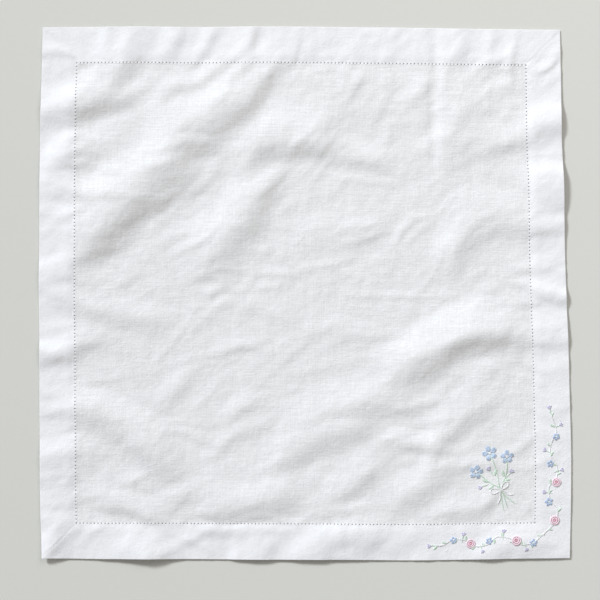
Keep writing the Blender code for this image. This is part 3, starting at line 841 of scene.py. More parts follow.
def field_shell(cloth):
    """Points and quads of the single layer inside the hemstitching, closed all round."""
    hem_line = HALF - cloth.hem_width / MM
    edge = hem_line - cloth.drawn_gap / MM
    cells = int(round(2 * edge / (cloth.mesh_step / MM)))
    lines = np.linspace(-edge, edge, cells + 1)
    across, along = (grid.ravel() for grid in np.meshgrid(lines, lines))
    under = cloth_points(across, along, 0.0, hem_line)
    over = under + (0.0, 0.0, cloth.field_thickness)
    index = np.arange((cells + 1) ** 2).reshape(cells + 1, cells + 1)
    upper = index + index.size
    rim = np.concatenate([index[0, :-1], index[:-1, -1], index[-1, :0:-1], index[:0:-1, 0]])
    walls = grid_quads(np.stack([rim, rim + index.size]), wrap_columns=True)
    walls = walls[: len(rim)]
    quads = np.concatenate([grid_quads(index)[:, ::-1], grid_quads(upper), walls])
    flat = np.stack([across, along], axis=1)
    return np.concatenate([under, over]), quads, np.concatenate([flat, flat])


def hem_profile(cloth):
    """The hem's section: places in from the outer edge and heights, bottom first, all in mm."""
    width, height = cloth.hem_width / MM, cloth.hem_thickness / MM
    middle = np.linspace(0.6, width - 2.2, HEM_STATIONS)
    stations = np.concatenate([[0.2], middle, [width - 1.2, width - 0.3]])
    turn_in = TURN_IN_HEIGHT * smoothstep((stations - width + TURN_IN_WIDTH) / 1.2)
    turn_in -= STITCHED_DIP * smoothstep((stations - width + STITCHED_REACH) / STITCHED_REACH)
    bottom = [(place, 0.0) for place in stations[::-1]]
    edge = [(0.06, 0.12 * height), (0.0, 0.5 * height), (0.06, 0.88 * height)]
    top = [(place, height + raised) for place, raised in zip(stations, turn_in)]
    inner_top = height + TURN_IN_HEIGHT - STITCHED_DIP
    inner = [(width - 0.05, inner_top - 0.08), (width, 0.5 * inner_top), (width - 0.05, 0.08)]
    return np.array(bottom + edge + top + inner)


def ring_stations(cloth):
    """Places along one side from corner to corner, as shares, with lines beside each mitre."""
    cells = int(round(SIDE / (cloth.mesh_step / MM)))
    beside = MITRE_HALF_WIDTH / HALF
    inner = np.linspace(-1.0 + 2.5 * beside, 1.0 - 2.5 * beside, cells)
    return np.concatenate([[-1.0, -1.0 + beside], inner, [1.0 - beside]])


def hem_shell(cloth):
    """Points and quads of the folded hem, a closed ring with a mitre at each corner."""
    profile = hem_profile(cloth)
    share = ring_stations(cloth)
    hem_line = HALF - cloth.hem_width / MM
    reach = HALF - profile[:, 0]
    run = share[None, :] * reach[:, None]
    rim = np.repeat(-reach[:, None], len(share), axis=1)
    across = np.concatenate([run, -rim, -run, rim], axis=1)
    along = np.concatenate([rim, run, -rim, -run], axis=1)
    mitre = np.tile(share == -1.0, 4)
    on_top = profile[:, 1] > cloth.hem_thickness / MM * 0.8
    lift = np.repeat(profile[:, 1:], mitre.size, axis=1)
    lift -= MITRE_DEPTH * (on_top[:, None] & mitre[None, :])
    flat = np.stack([across.ravel(), along.ravel()], axis=1)
    points = cloth_points(flat[:, 0], flat[:, 1], lift.ravel(), hem_line)
    index = np.arange(across.size).reshape(across.shape)
    return points, grid_quads(index, wrap_rows=True, wrap_columns=True), flat


def turned_in(flat, cloth):
    """Share of extra layers at points of the hem: the turned-in edge inside it."""
    reach = np.max(np.abs(flat), axis=1)
    inner = HALF - cloth.hem_width / MM
    return smoothstep((inner + TURN_IN_WIDTH - reach) / 1.2)


def add_mesh(name, points, quads, flat):
    """A mesh object with a flat map of the cloth it belongs to."""
    mesh = bpy.data.meshes.new(name)
    mesh.from_pydata(points.tolist(), [], quads.tolist())
    corners = np.empty(len(mesh.loops), dtype=int)
    mesh.loops.foreach_get("vertex_index", corners)
    uv = mesh.uv_layers.new(name="flat")
    uv.data.foreach_set("uv", ((flat[corners] + HALF) / SIDE).ravel())
    mesh.validate()
    mesh.shade_smooth()
    piece = bpy.data.objects.new(name, mesh)
    bpy.context.scene.collection.objects.link(piece)
    return piece


class HANDKERCHIEF_OT_lay_cloth(Operator):
    """Lay the hemmed square of linen on its solid's folds"""
    bl_idname = "handkerchief.lay_cloth"
    bl_label = "Lay the cloth"

    def execute(self, context):
        cloth = settings(context)[0]
        field, hem = field_shell(cloth), hem_shell(cloth)
        points = np.concatenate([field[0], hem[0]])
        quads = np.concatenate([field[1], hem[1] + len(field[0])])
        flat = np.concatenate([field[2], hem[2]])
        piece = add_mesh("linen_cloth", points, quads, flat)
        mesh = piece.data
        mesh.materials.append(linen_material(
            "sheer_linen", cloth.field_colour, 0.94, cloth.cover, cloth, 0.5))
        mesh.materials.append(linen_material(
            "doubled_linen", cloth.hem_colour, 0.955, 1.0, cloth, 0.4))
        slots = np.repeat([0, 1], [len(field[1]), len(hem[1])])
        mesh.polygons.foreach_set("material_index", slots)
        mesh.set_sharp_from_angle(angle=math.radians(70))
        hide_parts(SOLID)
        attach(piece, BODY)
        return {"FINISHED"}


def guide_object(name, lines, lift, cloth):
    """Lines of cloth places as a mesh of edges on the cloth, with its normals and a breadth."""
    hem_line = HALF - cloth.hem_width / MM
    places = np.concatenate([np.asarray(line.places, dtype=float) for line in lines])
    points = cloth_points(places[:, 0], places[:, 1], lift, hem_line)
    edges = []
    start = 0
    for line in lines:
        count = len(line.places)
        edges += [(start + k, start + k + 1) for k in range(count - 1)]
        start += count
    mesh = bpy.data.meshes.new(name)
    mesh.from_pydata(points.tolist(), edges, [])
    normals = mesh.attributes.new("cloth_normal", "FLOAT_VECTOR", "POINT")
    normals.data.foreach_set("vector", cloth_normals(places[:, 0], places[:, 1], hem_line).ravel())
    breadth = mesh.attributes.new("breadth", "FLOAT", "POINT")
    widths = np.concatenate([np.full(len(line.places), line.breadth * MM) for line in lines])
    breadth.data.foreach_set("value", widths)
    guide = bpy.data.objects.new(name, mesh)
    bpy.context.scene.collection.objects.link(guide)
    return guide


# A guide that stitches follow: places on the flat square cloth, and how broad the stitches are
Line = namedtuple("Line", "places breadth")


def facing(tree, direction):
    """Rotation that stands +Z on the cloth and turns +X towards a direction."""
    normal = add_node(tree, "GeometryNodeInputNamedAttribute", {"data_type": "FLOAT_VECTOR"},
                      Name="cloth_normal")
    upright = add_node(tree, "FunctionNodeAlignRotationToVector", {"axis": "Z"},
                       Vector=normal.outputs[0])
    turned = add_node(tree, "FunctionNodeAlignRotationToVector", {"axis": "X", "pivot_axis": "Z"},
                      Rotation=upright.outputs[0], Vector=direction)
    return turned.outputs[0]


def sideways(tree):
    """Direction across a guide, in the plane of the cloth."""
    normal = add_node(tree, "GeometryNodeInputNamedAttribute", {"data_type": "FLOAT_VECTOR"},
                      Name="cloth_normal")
    tangent = tree.nodes.new("GeometryNodeInputTangent")
    cross = add_node(tree, "ShaderNodeVectorMath", {"operation": "CROSS_PRODUCT"})
    connect(tree, tangent.outputs[0], cross.inputs[0])
    connect(tree, normal.outputs[0], cross.inputs[1])
    return cross.outputs[0]


def random_value(tree, low, high, seed, offset):
    """A random number for each point."""
    node = add_node(tree, "FunctionNodeRandomValue", {"data_type": "FLOAT"})
    node.inputs[2].default_value = low
    node.inputs[3].default_value = high
    connect(tree, math_node(tree, "ADD", seed, offset), node.inputs["Seed"])
    return node.outputs[1]


def spin(tree, rotation, angle):
    """Turn a rotation about its own +Z."""
    extra = add_node(tree, "FunctionNodeAxisAngleToRotation", Axis=(0.0, 0.0, 1.0), Angle=angle)
    node = add_node(tree, "FunctionNodeRotateRotation", {"rotation_space": "LOCAL"},
                    Rotation=rotation, Rotate_By=extra.outputs[0])
    return node.outputs[0]


def one_stitch(tree):
    """A single arched strand, 1 long and 1 wide, with tucked ends."""
    arch = add_node(tree, "GeometryNodeCurveQuadraticBezier", Resolution=6, Start=(-0.5, 0.0, -0.25),
                    Middle=(0.0, 0.0, 0.85), End=(0.5, 0.0, -0.25))
    share = tree.nodes.new("GeometryNodeSplineParameter").outputs["Factor"]
    from_middle = math_node(tree, "ABSOLUTE", math_node(tree, "SUBTRACT", share, 0.5))
    taper = math_node(tree, "SUBTRACT", 0.53, math_node(tree, "POWER", from_middle, 2.0))
    ring = add_node(tree, "GeometryNodeCurvePrimitiveCircle", Resolution=6, Radius=1.0)
    strand = add_node(tree, "GeometryNodeCurveToMesh", Curve=arch.outputs[0],
                      Profile_Curve=ring.outputs[0], Scale=taper, Fill_Caps=True)
    return strand.outputs[0]


def one_ring(tree, thickness):
    """A single wrap of thread round the +X axis, 1 across."""
    hoop = add_node(tree, "GeometryNodeCurvePrimitiveCircle", Resolution=8, Radius=0.5 - thickness)
    profile = add_node(tree, "GeometryNodeCurvePrimitiveCircle", Resolution=4, Radius=thickness)
    ring = add_node(tree, "GeometryNodeCurveToMesh", Curve=hoop.outputs[0],
                    Profile_Curve=profile.outputs[0])
    turned = add_node(tree, "GeometryNodeTransform", Geometry=ring.outputs[0],
                      Rotation=(0.0, math.pi / 2, 0.0))
    return turned.outputs[0]


def one_bundle(tree):
    """A flat bundle of drawn threads along Y, pulled in at its waist, 1 long and 1 wide."""
    line = add_node(tree, "GeometryNodeCurvePrimitiveLine", Start=(0.0, -0.5, 0.0),
                    End=(0.0, 0.5, 0.0))
    cut = add_node(tree, "GeometryNodeResampleCurve", Curve=line.outputs[0], Count=7)
    share = tree.nodes.new("GeometryNodeSplineParameter").outputs["Factor"]
    from_middle = math_node(tree, "ABSOLUTE", math_node(tree, "SUBTRACT", share, 0.5))
    waist = math_node(tree, "MULTIPLY_ADD", math_node(tree, "POWER", from_middle, 2.0), 0.6)
    waist.node.inputs[2].default_value = 0.385
    ring = add_node(tree, "GeometryNodeCurvePrimitiveCircle", Resolution=8, Radius=1.0)
    bundle = add_node(tree, "GeometryNodeCurveToMesh", Curve=cut.outputs[0],
                      Profile_Curve=ring.outputs[0], Scale=waist, Fill_Caps=True)
    return bundle.outputs[0]


def one_knot(tree):
    """A low knot of two wraps round a core, 1 across."""
    core = add_node(tree, "GeometryNodeMeshUVSphere", Segments=8, Rings=5, Radius=0.36)
    wrap = add_node(tree, "GeometryNodeCurvePrimitiveCircle", Resolution=8, Radius=0.34)
    profile = add_node(tree, "GeometryNodeCurvePrimitiveCircle", Resolution=5, Radius=0.17)
    ring = add_node(tree, "GeometryNodeCurveToMesh", Curve=wrap.outputs[0],
                    Profile_Curve=profile.outputs[0])
    both = tree.nodes.new("GeometryNodeJoinGeometry")
    tree.links.new(core.outputs["Mesh"], both.inputs[0])
    tree.links.new(ring.outputs[0], both.inputs[0])
    return both.outputs[0]


STITCH_INPUTS = [
    ("Geometry", "NodeSocketGeometry", None),
    ("Spacing", "NodeSocketFloat", 0.0004),
    ("Thread Width", "NodeSocketFloat", 0.0004),
    ("Crown", "NodeSocketFloat", 0.0004),
    ("Unevenness", "NodeSocketFloat", 0.1),
    ("Seed", "NodeSocketInt", 1),
    ("Material", "NodeSocketMaterial", None),
]


def stitch_tree(name, unit, turn, scale):
    """Geometry nodes that lay one unit after another along guides on the cloth."""
    if name in bpy.data.node_groups:
        return bpy.data.node_groups[name]
    tree, given, result = new_group(
        name, "GeometryNodeTree", STITCH_INPUTS, [("Geometry", "NodeSocketGeometry")])
    guide = add_node(tree, "GeometryNodeMeshToCurve", Mesh=given.outputs["Geometry"])
    placed = add_node(tree, "GeometryNodeResampleCurve", {"mode": "LENGTH"},
                      Curve=guide.outputs[0], Length=given.outputs["Spacing"])
    rotation = turn(tree, given)
    laid = add_node(tree, "GeometryNodeInstanceOnPoints", Points=placed.outputs[0],
                    Instance=unit(tree), Rotation=rotation, Scale=scale(tree, given))
    tone = random_value(tree, 0.0, 1.0, given.outputs["Seed"], 5)
    kept = add_node(tree, "GeometryNodeStoreNamedAttribute",
                    {"data_type": "FLOAT", "domain": "INSTANCE"},
                    Geometry=laid.outputs[0], Name="stitch_tone", Value=tone)
    real = add_node(tree, "GeometryNodeRealizeInstances", Geometry=kept.outputs[0])
    smooth = add_node(tree, "GeometryNodeSetShadeSmooth", Geometry=real.outputs[0])
    dressed = add_node(tree, "GeometryNodeSetMaterial", Geometry=smooth.outputs[0],
                       Material=given.outputs["Material"])
    connect(tree, dressed.outputs[0], result.inputs[0])
    return tree


def uneven(tree, given, offset):
    """A factor close to 1 that varies from stitch to stitch."""
    wobble = random_value(tree, -1.0, 1.0, given.outputs["Seed"], offset)
    return math_node(tree, "ADD", math_node(tree, "MULTIPLY", wobble, given.outputs["Unevenness"]), 1.0)


def across_guide(tree, given):
    """Turn for stitches that lie across their guide."""
    tilt = random_value(tree, -0.5, 0.5, given.outputs["Seed"], 11)
    return spin(tree, facing(tree, sideways(tree)),
                math_node(tree, "MULTIPLY", tilt, given.outputs["Unevenness"]))


def along_guide(tree, given):
    """Turn for stitches that follow their guide, each leaning the same small way."""
    tangent = tree.nodes.new("GeometryNodeInputTangent").outputs[0]
    tilt = random_value(tree, 0.16, 0.30, given.outputs["Seed"], 11)
    return spin(tree, facing(tree, tangent), tilt)


def straight_along(tree, given):
    """Turn for units that sit square on their guide."""
    tangent = tree.nodes.new("GeometryNodeInputTangent").outputs[0]
    tilt = random_value(tree, -0.12, 0.12, given.outputs["Seed"], 11)
    return spin(tree, facing(tree, tangent), tilt)


def satin_scale(tree, given):
    """Long in the middle of the guide and short at its ends, so that it fills a petal or leaf."""
    share = tree.nodes.new("GeometryNodeSplineParameter").outputs["Factor"]
    hump = math_node(tree, "MULTIPLY", share, math_node(tree, "SUBTRACT", 1.0, share))
    fullness = math_node(tree, "POWER", math_node(tree, "MULTIPLY", hump, 4.0), 0.55)
    fullness = math_node(tree, "MAXIMUM", fullness, 0.22)
    breadth = add_node(tree, "GeometryNodeInputNamedAttribute", {"data_type": "FLOAT"},
                       Name="breadth")
    length = math_node(tree, "MULTIPLY", fullness, breadth.outputs[0])
    length = math_node(tree, "MULTIPLY", length, uneven(tree, given, 2))
    size = add_node(tree, "ShaderNodeCombineXYZ", X=length, Y=given.outputs["Thread Width"],
                    Z=given.outputs["Crown"])
    return size.outputs[0]


def run_scale(tree, given):
    """Each stitch a little longer than the spacing, so that it overlaps the next."""
    length = math_node(tree, "MULTIPLY", given.outputs["Spacing"], 1.9)
    length = math_node(tree, "MULTIPLY", length, uneven(tree, given, 2))
    size = add_node(tree, "ShaderNodeCombineXYZ", X=length, Y=given.outputs["Thread Width"],
                    Z=given.outputs["Crown"])
    return size.outputs[0]


def wrap_scale(tree, given):
    """Wraps as wide as the guide's breadth, thinner at its two ends."""
    share = tree.nodes.new("GeometryNodeSplineParameter").outputs["Factor"]
    hump = math_node(tree, "MULTIPLY", share, math_node(tree, "SUBTRACT", 1.0, share))
    fullness = math_node(tree, "POWER", math_node(tree, "MULTIPLY", hump, 4.0), 0.3)
    fullness = math_node(tree, "MAXIMUM", fullness, 0.6)
    breadth = add_node(tree, "GeometryNodeInputNamedAttribute", {"data_type": "FLOAT"},
                       Name="breadth")
    width = math_node(tree, "MULTIPLY", fullness, breadth.outputs[0])
    width = math_node(tree, "MULTIPLY", width, uneven(tree, given, 2))
    size = add_node(tree, "ShaderNodeCombineXYZ", X=width, Y=width,
                    Z=math_node(tree, "MULTIPLY", width, 0.7))
    return size.outputs[0]


def bundle_scale(tree, given):
    """Bundles as wide as the thread width, across a gap as broad as the guide says."""
    breadth = add_node(tree, "GeometryNodeInputNamedAttribute", {"data_type": "FLOAT"},
                       Name="breadth")
    width = math_node(tree, "MULTIPLY", given.outputs["Thread Width"], uneven(tree, given, 2))
    size = add_node(tree, "ShaderNodeCombineXYZ", X=width, Y=breadth.outputs[0],
                    Z=given.outputs["Crown"])
    return size.outputs[0]


def knot_scale(tree, given):
    """Knots as wide as the guide's breadth and half as high."""
    breadth = add_node(tree, "GeometryNodeInputNamedAttribute", {"data_type": "FLOAT"},
                       Name="breadth")
    width = math_node(tree, "MULTIPLY", breadth.outputs[0], uneven(tree, given, 2))
    size = add_node(tree, "ShaderNodeCombineXYZ", X=width, Y=width,
                    Z=math_node(tree, "MULTIPLY", width, 0.8))
    return size.outputs[0]


def satin_tree():
    return stitch_tree("satin_stitches", one_stitch, across_guide, satin_scale)


def stem_tree():
    return stitch_tree("stem_stitches", one_stitch, along_guide, run_scale)


def bullion_tree():
    return stitch_tree("bullion_stitches", lambda tree: one_ring(tree, 0.2), straight_along, wrap_scale)


def bundle_tree():
    return stitch_tree("drawn_thread_bundles", one_bundle, straight_along, bundle_scale)


def knot_tree():
    return stitch_tree("knots", one_knot, straight_along, knot_scale)


def sew(name, lines, tree, material, stitches, cloth, spacing, width, crown, lift, unevenness=0.1):
    """Lay stitches along guides, make the result a plain mesh and fix it to the cloth."""
    guide = guide_object(name + "_guide", lines, lift, cloth)
    modifier = guide.modifiers.new("stitches", "NODES")
    modifier.node_group = tree
    values = {
        "Spacing": spacing, "Thread Width": width, "Crown": crown, "Unevenness": unevenness,
        "Seed": stitches.seed, "Material": material,
    }
    for item in tree.interface.items_tree:
        if item.in_out == "INPUT" and item.name in values:
            modifier[item.identifier] = values[item.name]
    context = bpy.context
    context.view_layer.update()
    sewn = guide.evaluated_get(context.evaluated_depsgraph_get())
    mesh = bpy.data.meshes.new_from_object(sewn)
    mesh.name = name
    bpy.data.objects.remove(guide)
    piece = bpy.data.objects.new(name, mesh)
    context.scene.collection.objects.link(piece)
    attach(piece, BODY)
    return piece


class HANDKERCHIEF_OT_hemstitch(Operator):
    """Bundle the drawn threads along the hem, with a hole between each two bundles"""
    bl_idname = "handkerchief.hemstitch"
    bl_label = "Hemstitch"

    def execute(self, context):
        cloth, stitches, _ = settings(context)
        gap = cloth.drawn_gap / MM
        reach = HALF - cloth.hem_width / MM - gap / 2
        run = np.linspace(1.6 - reach, reach - 1.6, 180)
        rim = np.full(len(run), reach)
        sides = ((run, -rim), (rim, run), (-run, rim), (-rim, -run))
        lines = [Line(np.stack(side, axis=1), gap + 0.7) for side in sides]
        white = linen_material("drawn_threads", cloth.hem_colour, 0.96, 1.0, cloth, 0.0)
        sew("hemstitching", lines, bundle_tree(), white, stitches, cloth,
            stitches.hole_pitch, stitches.bundle_width, 0.0004, 0.25, 0.08)
        return {"FINISHED"}


# Embroidery, in millimetres on the flat square cloth
Sprig = namedtuple("Sprig", "kind x y size turn")
SPRIGS = (
    Sprig("rose", 202, -184, 1.2, 10),
    Sprig("bloom", 197, -169, 1.0, 30),
    Sprig("rose", 203, -153, 1.15, 70),
    Sprig("bloom", 198, -138, 0.9, 12),
    Sprig("bloom", 203, -116, 0.85, 50),
    Sprig("bloom", 185, -202, 0.95, 20),
    Sprig("rose", 171, -200, 1.25, 40),
    Sprig("bloom", 149, -200, 0.9, 0),
    Sprig("rose", 134, -202, 1.15, 100),
    Sprig("bloom", 120, -199, 0.85, 35),
)
# Buds stand on short stems that leave the vine or the nosegay at these places
BUDS = (
    Sprig("bud", 198, -162, 1.0, 165),
    Sprig("bud", 203, -144, 0.9, 12),
    Sprig("bud", 198, -129, 1.0, 150),
    Sprig("bud", 203, -108, 0.9, 22),
    Sprig("bud", 199, -97, 1.0, 98),
    Sprig("bud", 178, -203, 0.9, 285),
    Sprig("bud", 160, -197, 1.0, 78),
    Sprig("bud", 142, -204, 0.9, 290),
    Sprig("bud", 127, -199, 1.0, 75),
    Sprig("bud", 105, -203, 1.0, 182),
)
NOSEGAY_BUDS = (
    Sprig("bud", 151, -146, 1.1, 122),
    Sprig("bud", 163, -148, 1.1, 48),
    Sprig("bud", 146, -155, 1.0, 196),
)
NOSEGAY = (
    Sprig("large bloom", 138, -144, 0.95, 8),
    Sprig("large bloom", 149, -129, 1.0, 40),
    Sprig("large bloom", 163, -132, 0.9, 22),
)
NOSEGAY_LEAVES = (
    Sprig("leaf", 148, -152, 1.3, 160),
    Sprig("leaf", 153, -147, 1.3, 70),
    Sprig("leaf", 161, -148, 1.3, 110),
    Sprig("leaf", 161, -152, 1.2, 20),
    Sprig("leaf", 152, -155, 1.2, 215),
)
NOSEGAY_TIE = (158, -159)
NOSEGAY_ENDS = ((163, -172), (168, -169), (160, -174))
VINES = (
    ((194, -194), (202, -186), (204, -176), (198, -167), (197, -157), (203, -149), (203, -139),
     (198, -131), (199, -121), (203, -113), (201, -103), (198, -96)),
    ((194, -194), (184, -202), (174, -203), (165, -198), (155, -197), (147, -203), (137, -204),
     (129, -199), (119, -199), (111, -203), (104, -203)),
)
LEAF_LENGTH = 3.9
LEAF_BREADTH = 1.35
LEAF_EVERY = 8.5
BUD_STEM = 3.6
SEED_EVERY = 9.5
SEED_OFFSET = 5.2


def arc(x, y, radius, start, end, count=7):
    """Places along an arc, with angles in degrees."""
    angles = np.radians(np.linspace(start, end, count))
    return np.stack([x + radius * np.cos(angles), y + radius * np.sin(angles)], axis=1)


def smooth_line(places, count):
    """A smooth line through given places."""
    return through_points(places, np.linspace(0.0, len(places) - 1.0, count))


def petals(sprig, radius, length, spread, count=5):
    """Guides across the petals of a bloom; their stitches point at its middle."""
    lines = []
    for petal in range(count):
        middle = sprig.turn + petal * 360.0 / count
        places = arc(sprig.x, sprig.y, radius * sprig.size, middle - spread, middle + spread)
        lines.append(Line(places, length * sprig.size))
    return lines


def leaf(x, y, turn, size=1.0):
    """Guide down the middle of a leaf that starts at a place and points along an angle."""
    angle = math.radians(turn)
    bend = math.radians(turn + 90)
    share = np.linspace(0.0, 1.0, 6)
    length = LEAF_LENGTH * size * share
    bow = 0.35 * np.sin(math.pi * share)
    places = np.stack([x + length * math.cos(angle) + bow * math.cos(bend),
                       y + length * math.sin(angle) + bow * math.sin(bend)], axis=1)
    return Line(places, LEAF_BREADTH * size)


def vine_leaves(vine):
    """Leaves to the left and right of a vine by turns."""
    line = smooth_line(vine, 240)
    travelled = np.concatenate([[0.0], np.cumsum(np.hypot(*np.diff(line, axis=0).T))])
    leaves = []
    for number, distance in enumerate(np.arange(3.5, travelled[-1], LEAF_EVERY)):
        here = int(np.searchsorted(travelled, distance))
        ahead = line[min(here + 3, len(line) - 1)] - line[here - 3]
        side = 52 if number % 2 else -52
        turn = math.degrees(math.atan2(ahead[1], ahead[0])) + side
        leaves.append(leaf(line[here][0], line[here][1], turn, 0.85 + 0.1 * (number % 3)))
    return leaves


def rose_wraps(sprig, ring_radius, arcs, offset):
    """Guides of one ring of bullion arcs round the heart of a rose."""
    sweep = 360.0 / arcs + 34.0
    lines = []
    for number in range(arcs):
        start = sprig.turn + offset + number * 360.0 / arcs
        places = arc(sprig.x, sprig.y, ring_radius * sprig.size, start, start + sweep)
        lines.append(Line(places, 1.25 * sprig.size))
    return lines


def nosegay_stems():
    """Stems from each large bloom through the tie to an end below it."""
    stems = []
    for bloom, end in zip(NOSEGAY, NOSEGAY_ENDS):
        tie_x, tie_y = NOSEGAY_TIE
        half_way = ((bloom.x * 0.55 + tie_x * 0.45 + 1.5), (bloom.y * 0.55 + tie_y * 0.45 - 1.5))
        stems.append(Line(smooth_line((bloom[1:3], half_way, NOSEGAY_TIE, end), 24), 0.5))
    return stems


def bow_loops():
    """Two open loops and two tails of a small bow, square to the stems at the tie."""
    loop = ((0, 0), (2.6, 2.9), (6.0, 4.2), (8.0, 2.4), (6.4, 0.2), (3.0, -0.2), (0, 0))
    tail = ((0, 0), (2.2, -2.6), (3.2, -5.4), (5.8, -7.6))
    tie_x, tie_y = NOSEGAY_TIE
    lines = []
    for side in (-1.0, 1.0):
        for shape in (loop, tail):
            turned = [(tie_x + side * a * 0.88 - b * 0.47, tie_y + side * a * 0.47 + b * 0.88)
                      for a, b in shape]
            lines.append(Line(smooth_line(turned, 30), 0.5))
    return lines


def bud_stems(buds):
    """A short stem to each bud."""
    stems = []
    for bud in buds:
        tip = beyond(bud, BUD_STEM * bud.size)
        stems.append(Line(smooth_line((bud[1:3], tip), 6), 0.5))
    return stems


def bud_petals(buds):
    """Three narrow petals that fan out at the end of each bud's stem."""
    lines = []
    for bud in buds:
        x, y = beyond(bud, BUD_STEM * bud.size)
        lines += [leaf(x, y, bud.turn + fan, 0.75 * bud.size) for fan in (-32, 0, 32)]
    return lines


def beyond(sprig, distance):
    """The place at a distance from a sprig, along its own direction."""
    angle = math.radians(sprig.turn)
    return sprig.x + distance * math.cos(angle), sprig.y + distance * math.sin(angle)


def seed_knots(vine):
    """Pairs of small knots to the left and right of a vine by turns."""
    line = smooth_line(vine, 240)
    travelled = np.concatenate([[0.0], np.cumsum(np.hypot(*np.diff(line, axis=0).T))])
    knots = []
    for number, distance in enumerate(np.arange(5.0, travelled[-1] - 3.0, SEED_EVERY)):
        here = int(np.searchsorted(travelled, distance))
        ahead = line[here + 2] - line[here - 2]
        ahead /= np.hypot(*ahead)
        side = SEED_OFFSET if number % 2 else -SEED_OFFSET
        x, y = line[here] + side * np.array([-ahead[1], ahead[0]])
        knots.append(Line(np.array([(x, y), (x + 1.5 * ahead[0], y + 1.5 * ahead[1])]), 0.75))
    return knots


def of_kind(sprigs, kind):
    """The sprigs of one kind."""
    return [sprig for sprig in sprigs if sprig.kind == kind]


class HANDKERCHIEF_OT_embroider_stems(Operator):
    """Embroider stems, leaves and the small bow"""
    bl_idname = "handkerchief.embroider_stems"
    bl_label = "Embroider stems and leaves"

    def execute(self, context):
        cloth, stitches, _ = settings(context)
        width = stitches.thread_width
        on_hem = cloth.hem_thickness / MM + 0.1
        on_field = cloth.field_thickness / MM + 0.05
        green = thread_material("green_thread", stitches.green)
        white = thread_material("white_thread", stitches.white)
        vines = [Line(smooth_line(vine, 60), 0.5) for vine in VINES]
        sew("vine_stems", vines, stem_tree(), white, stitches, cloth,
            0.0016, width * 0.8, width * 0.8, on_hem)
        sew("vine_bud_stems", bud_stems(BUDS), stem_tree(), green, stitches, cloth,
            0.0016, width * 0.8, width * 0.8, on_hem)
        leaves = [guide for vine in VINES for guide in vine_leaves(vine)]
        sew("vine_leaves", leaves, satin_tree(), green, stitches, cloth,
            width * 0.8, width, width, on_hem)
        sew("nosegay_stems", nosegay_stems() + bud_stems(NOSEGAY_BUDS), stem_tree(), green,
            stitches, cloth, 0.0016, width * 0.85, width * 0.85, on_field)
        nosegay_leaves = [leaf(sprig.x, sprig.y, sprig.turn, sprig.size)
                          for sprig in NOSEGAY_LEAVES]
        sew("nosegay_leaves", nosegay_leaves, satin_tree(), green, stitches, cloth,
            width * 0.8, width, width, on_field)
        sew("bow", bow_loops(), stem_tree(), white, stitches, cloth,
            0.0015, width, width, on_field + 0.1)
        seeds = [knot for vine in VINES for knot in seed_knots(vine)]
        sew("seed_knots", seeds, knot_tree(), white, stitches, cloth,
            0.0014, width, width, on_hem)
        return {"FINISHED"}


class HANDKERCHIEF_OT_embroider_blooms(Operator):
    """Embroider the satin-stitched blooms and buds with their knotted hearts"""
    bl_idname = "handkerchief.embroider_blooms"
    bl_label = "Embroider blooms"

    def execute(self, context):
        cloth, stitches, _ = settings(context)
        width = stitches.thread_width
        on_hem = cloth.hem_thickness / MM + 0.2
        on_field = cloth.field_thickness / MM + 0.2
        blue = thread_material("blue_thread", stitches.blue)
        deep_blue = thread_material("deep_blue_thread", stitches.deep_blue)
        lilac = thread_material("lilac_thread", stitches.lilac)
        heart = thread_material("white_heart_thread", stitches.white)
        large = [line for sprig in NOSEGAY for line in petals(sprig, 3.6, 4.0, 27)]
        sew("large_blooms", large, satin_tree(), blue, stitches, cloth,
            width * 0.8, width, width * 1.1, on_field)
        small = [line for sprig in of_kind(SPRIGS, "bloom")
                 for line in petals(sprig, 2.0, 2.4, 27)]
        sew("small_blooms", small, satin_tree(), deep_blue, stitches, cloth,
            width * 0.8, width, width, on_hem)
        sew("vine_buds", bud_petals(BUDS), satin_tree(), lilac, stitches, cloth,
            width * 0.8, width, width, on_hem)
        sew("nosegay_buds", bud_petals(NOSEGAY_BUDS), satin_tree(), lilac, stitches, cloth,
            width * 0.8, width, width, on_field)
        hearts = [Line(arc(sprig.x, sprig.y, 0.28, 0, 120, 2), 1.1)
                  for sprig in of_kind(SPRIGS, "bloom")]
        sew("small_hearts", hearts, knot_tree(), heart, stitches, cloth,
            0.0012, width, width, on_hem + 0.2)
        field_hearts = [Line(arc(sprig.x, sprig.y, 0.65, start, start + 60, 2), 1.1)
                        for sprig in NOSEGAY for start in (0, 120, 240)]
        sew("large_hearts", field_hearts, knot_tree(), heart, stitches, cloth,
            0.0012, width, width, on_field + 0.3)
        return {"FINISHED"}


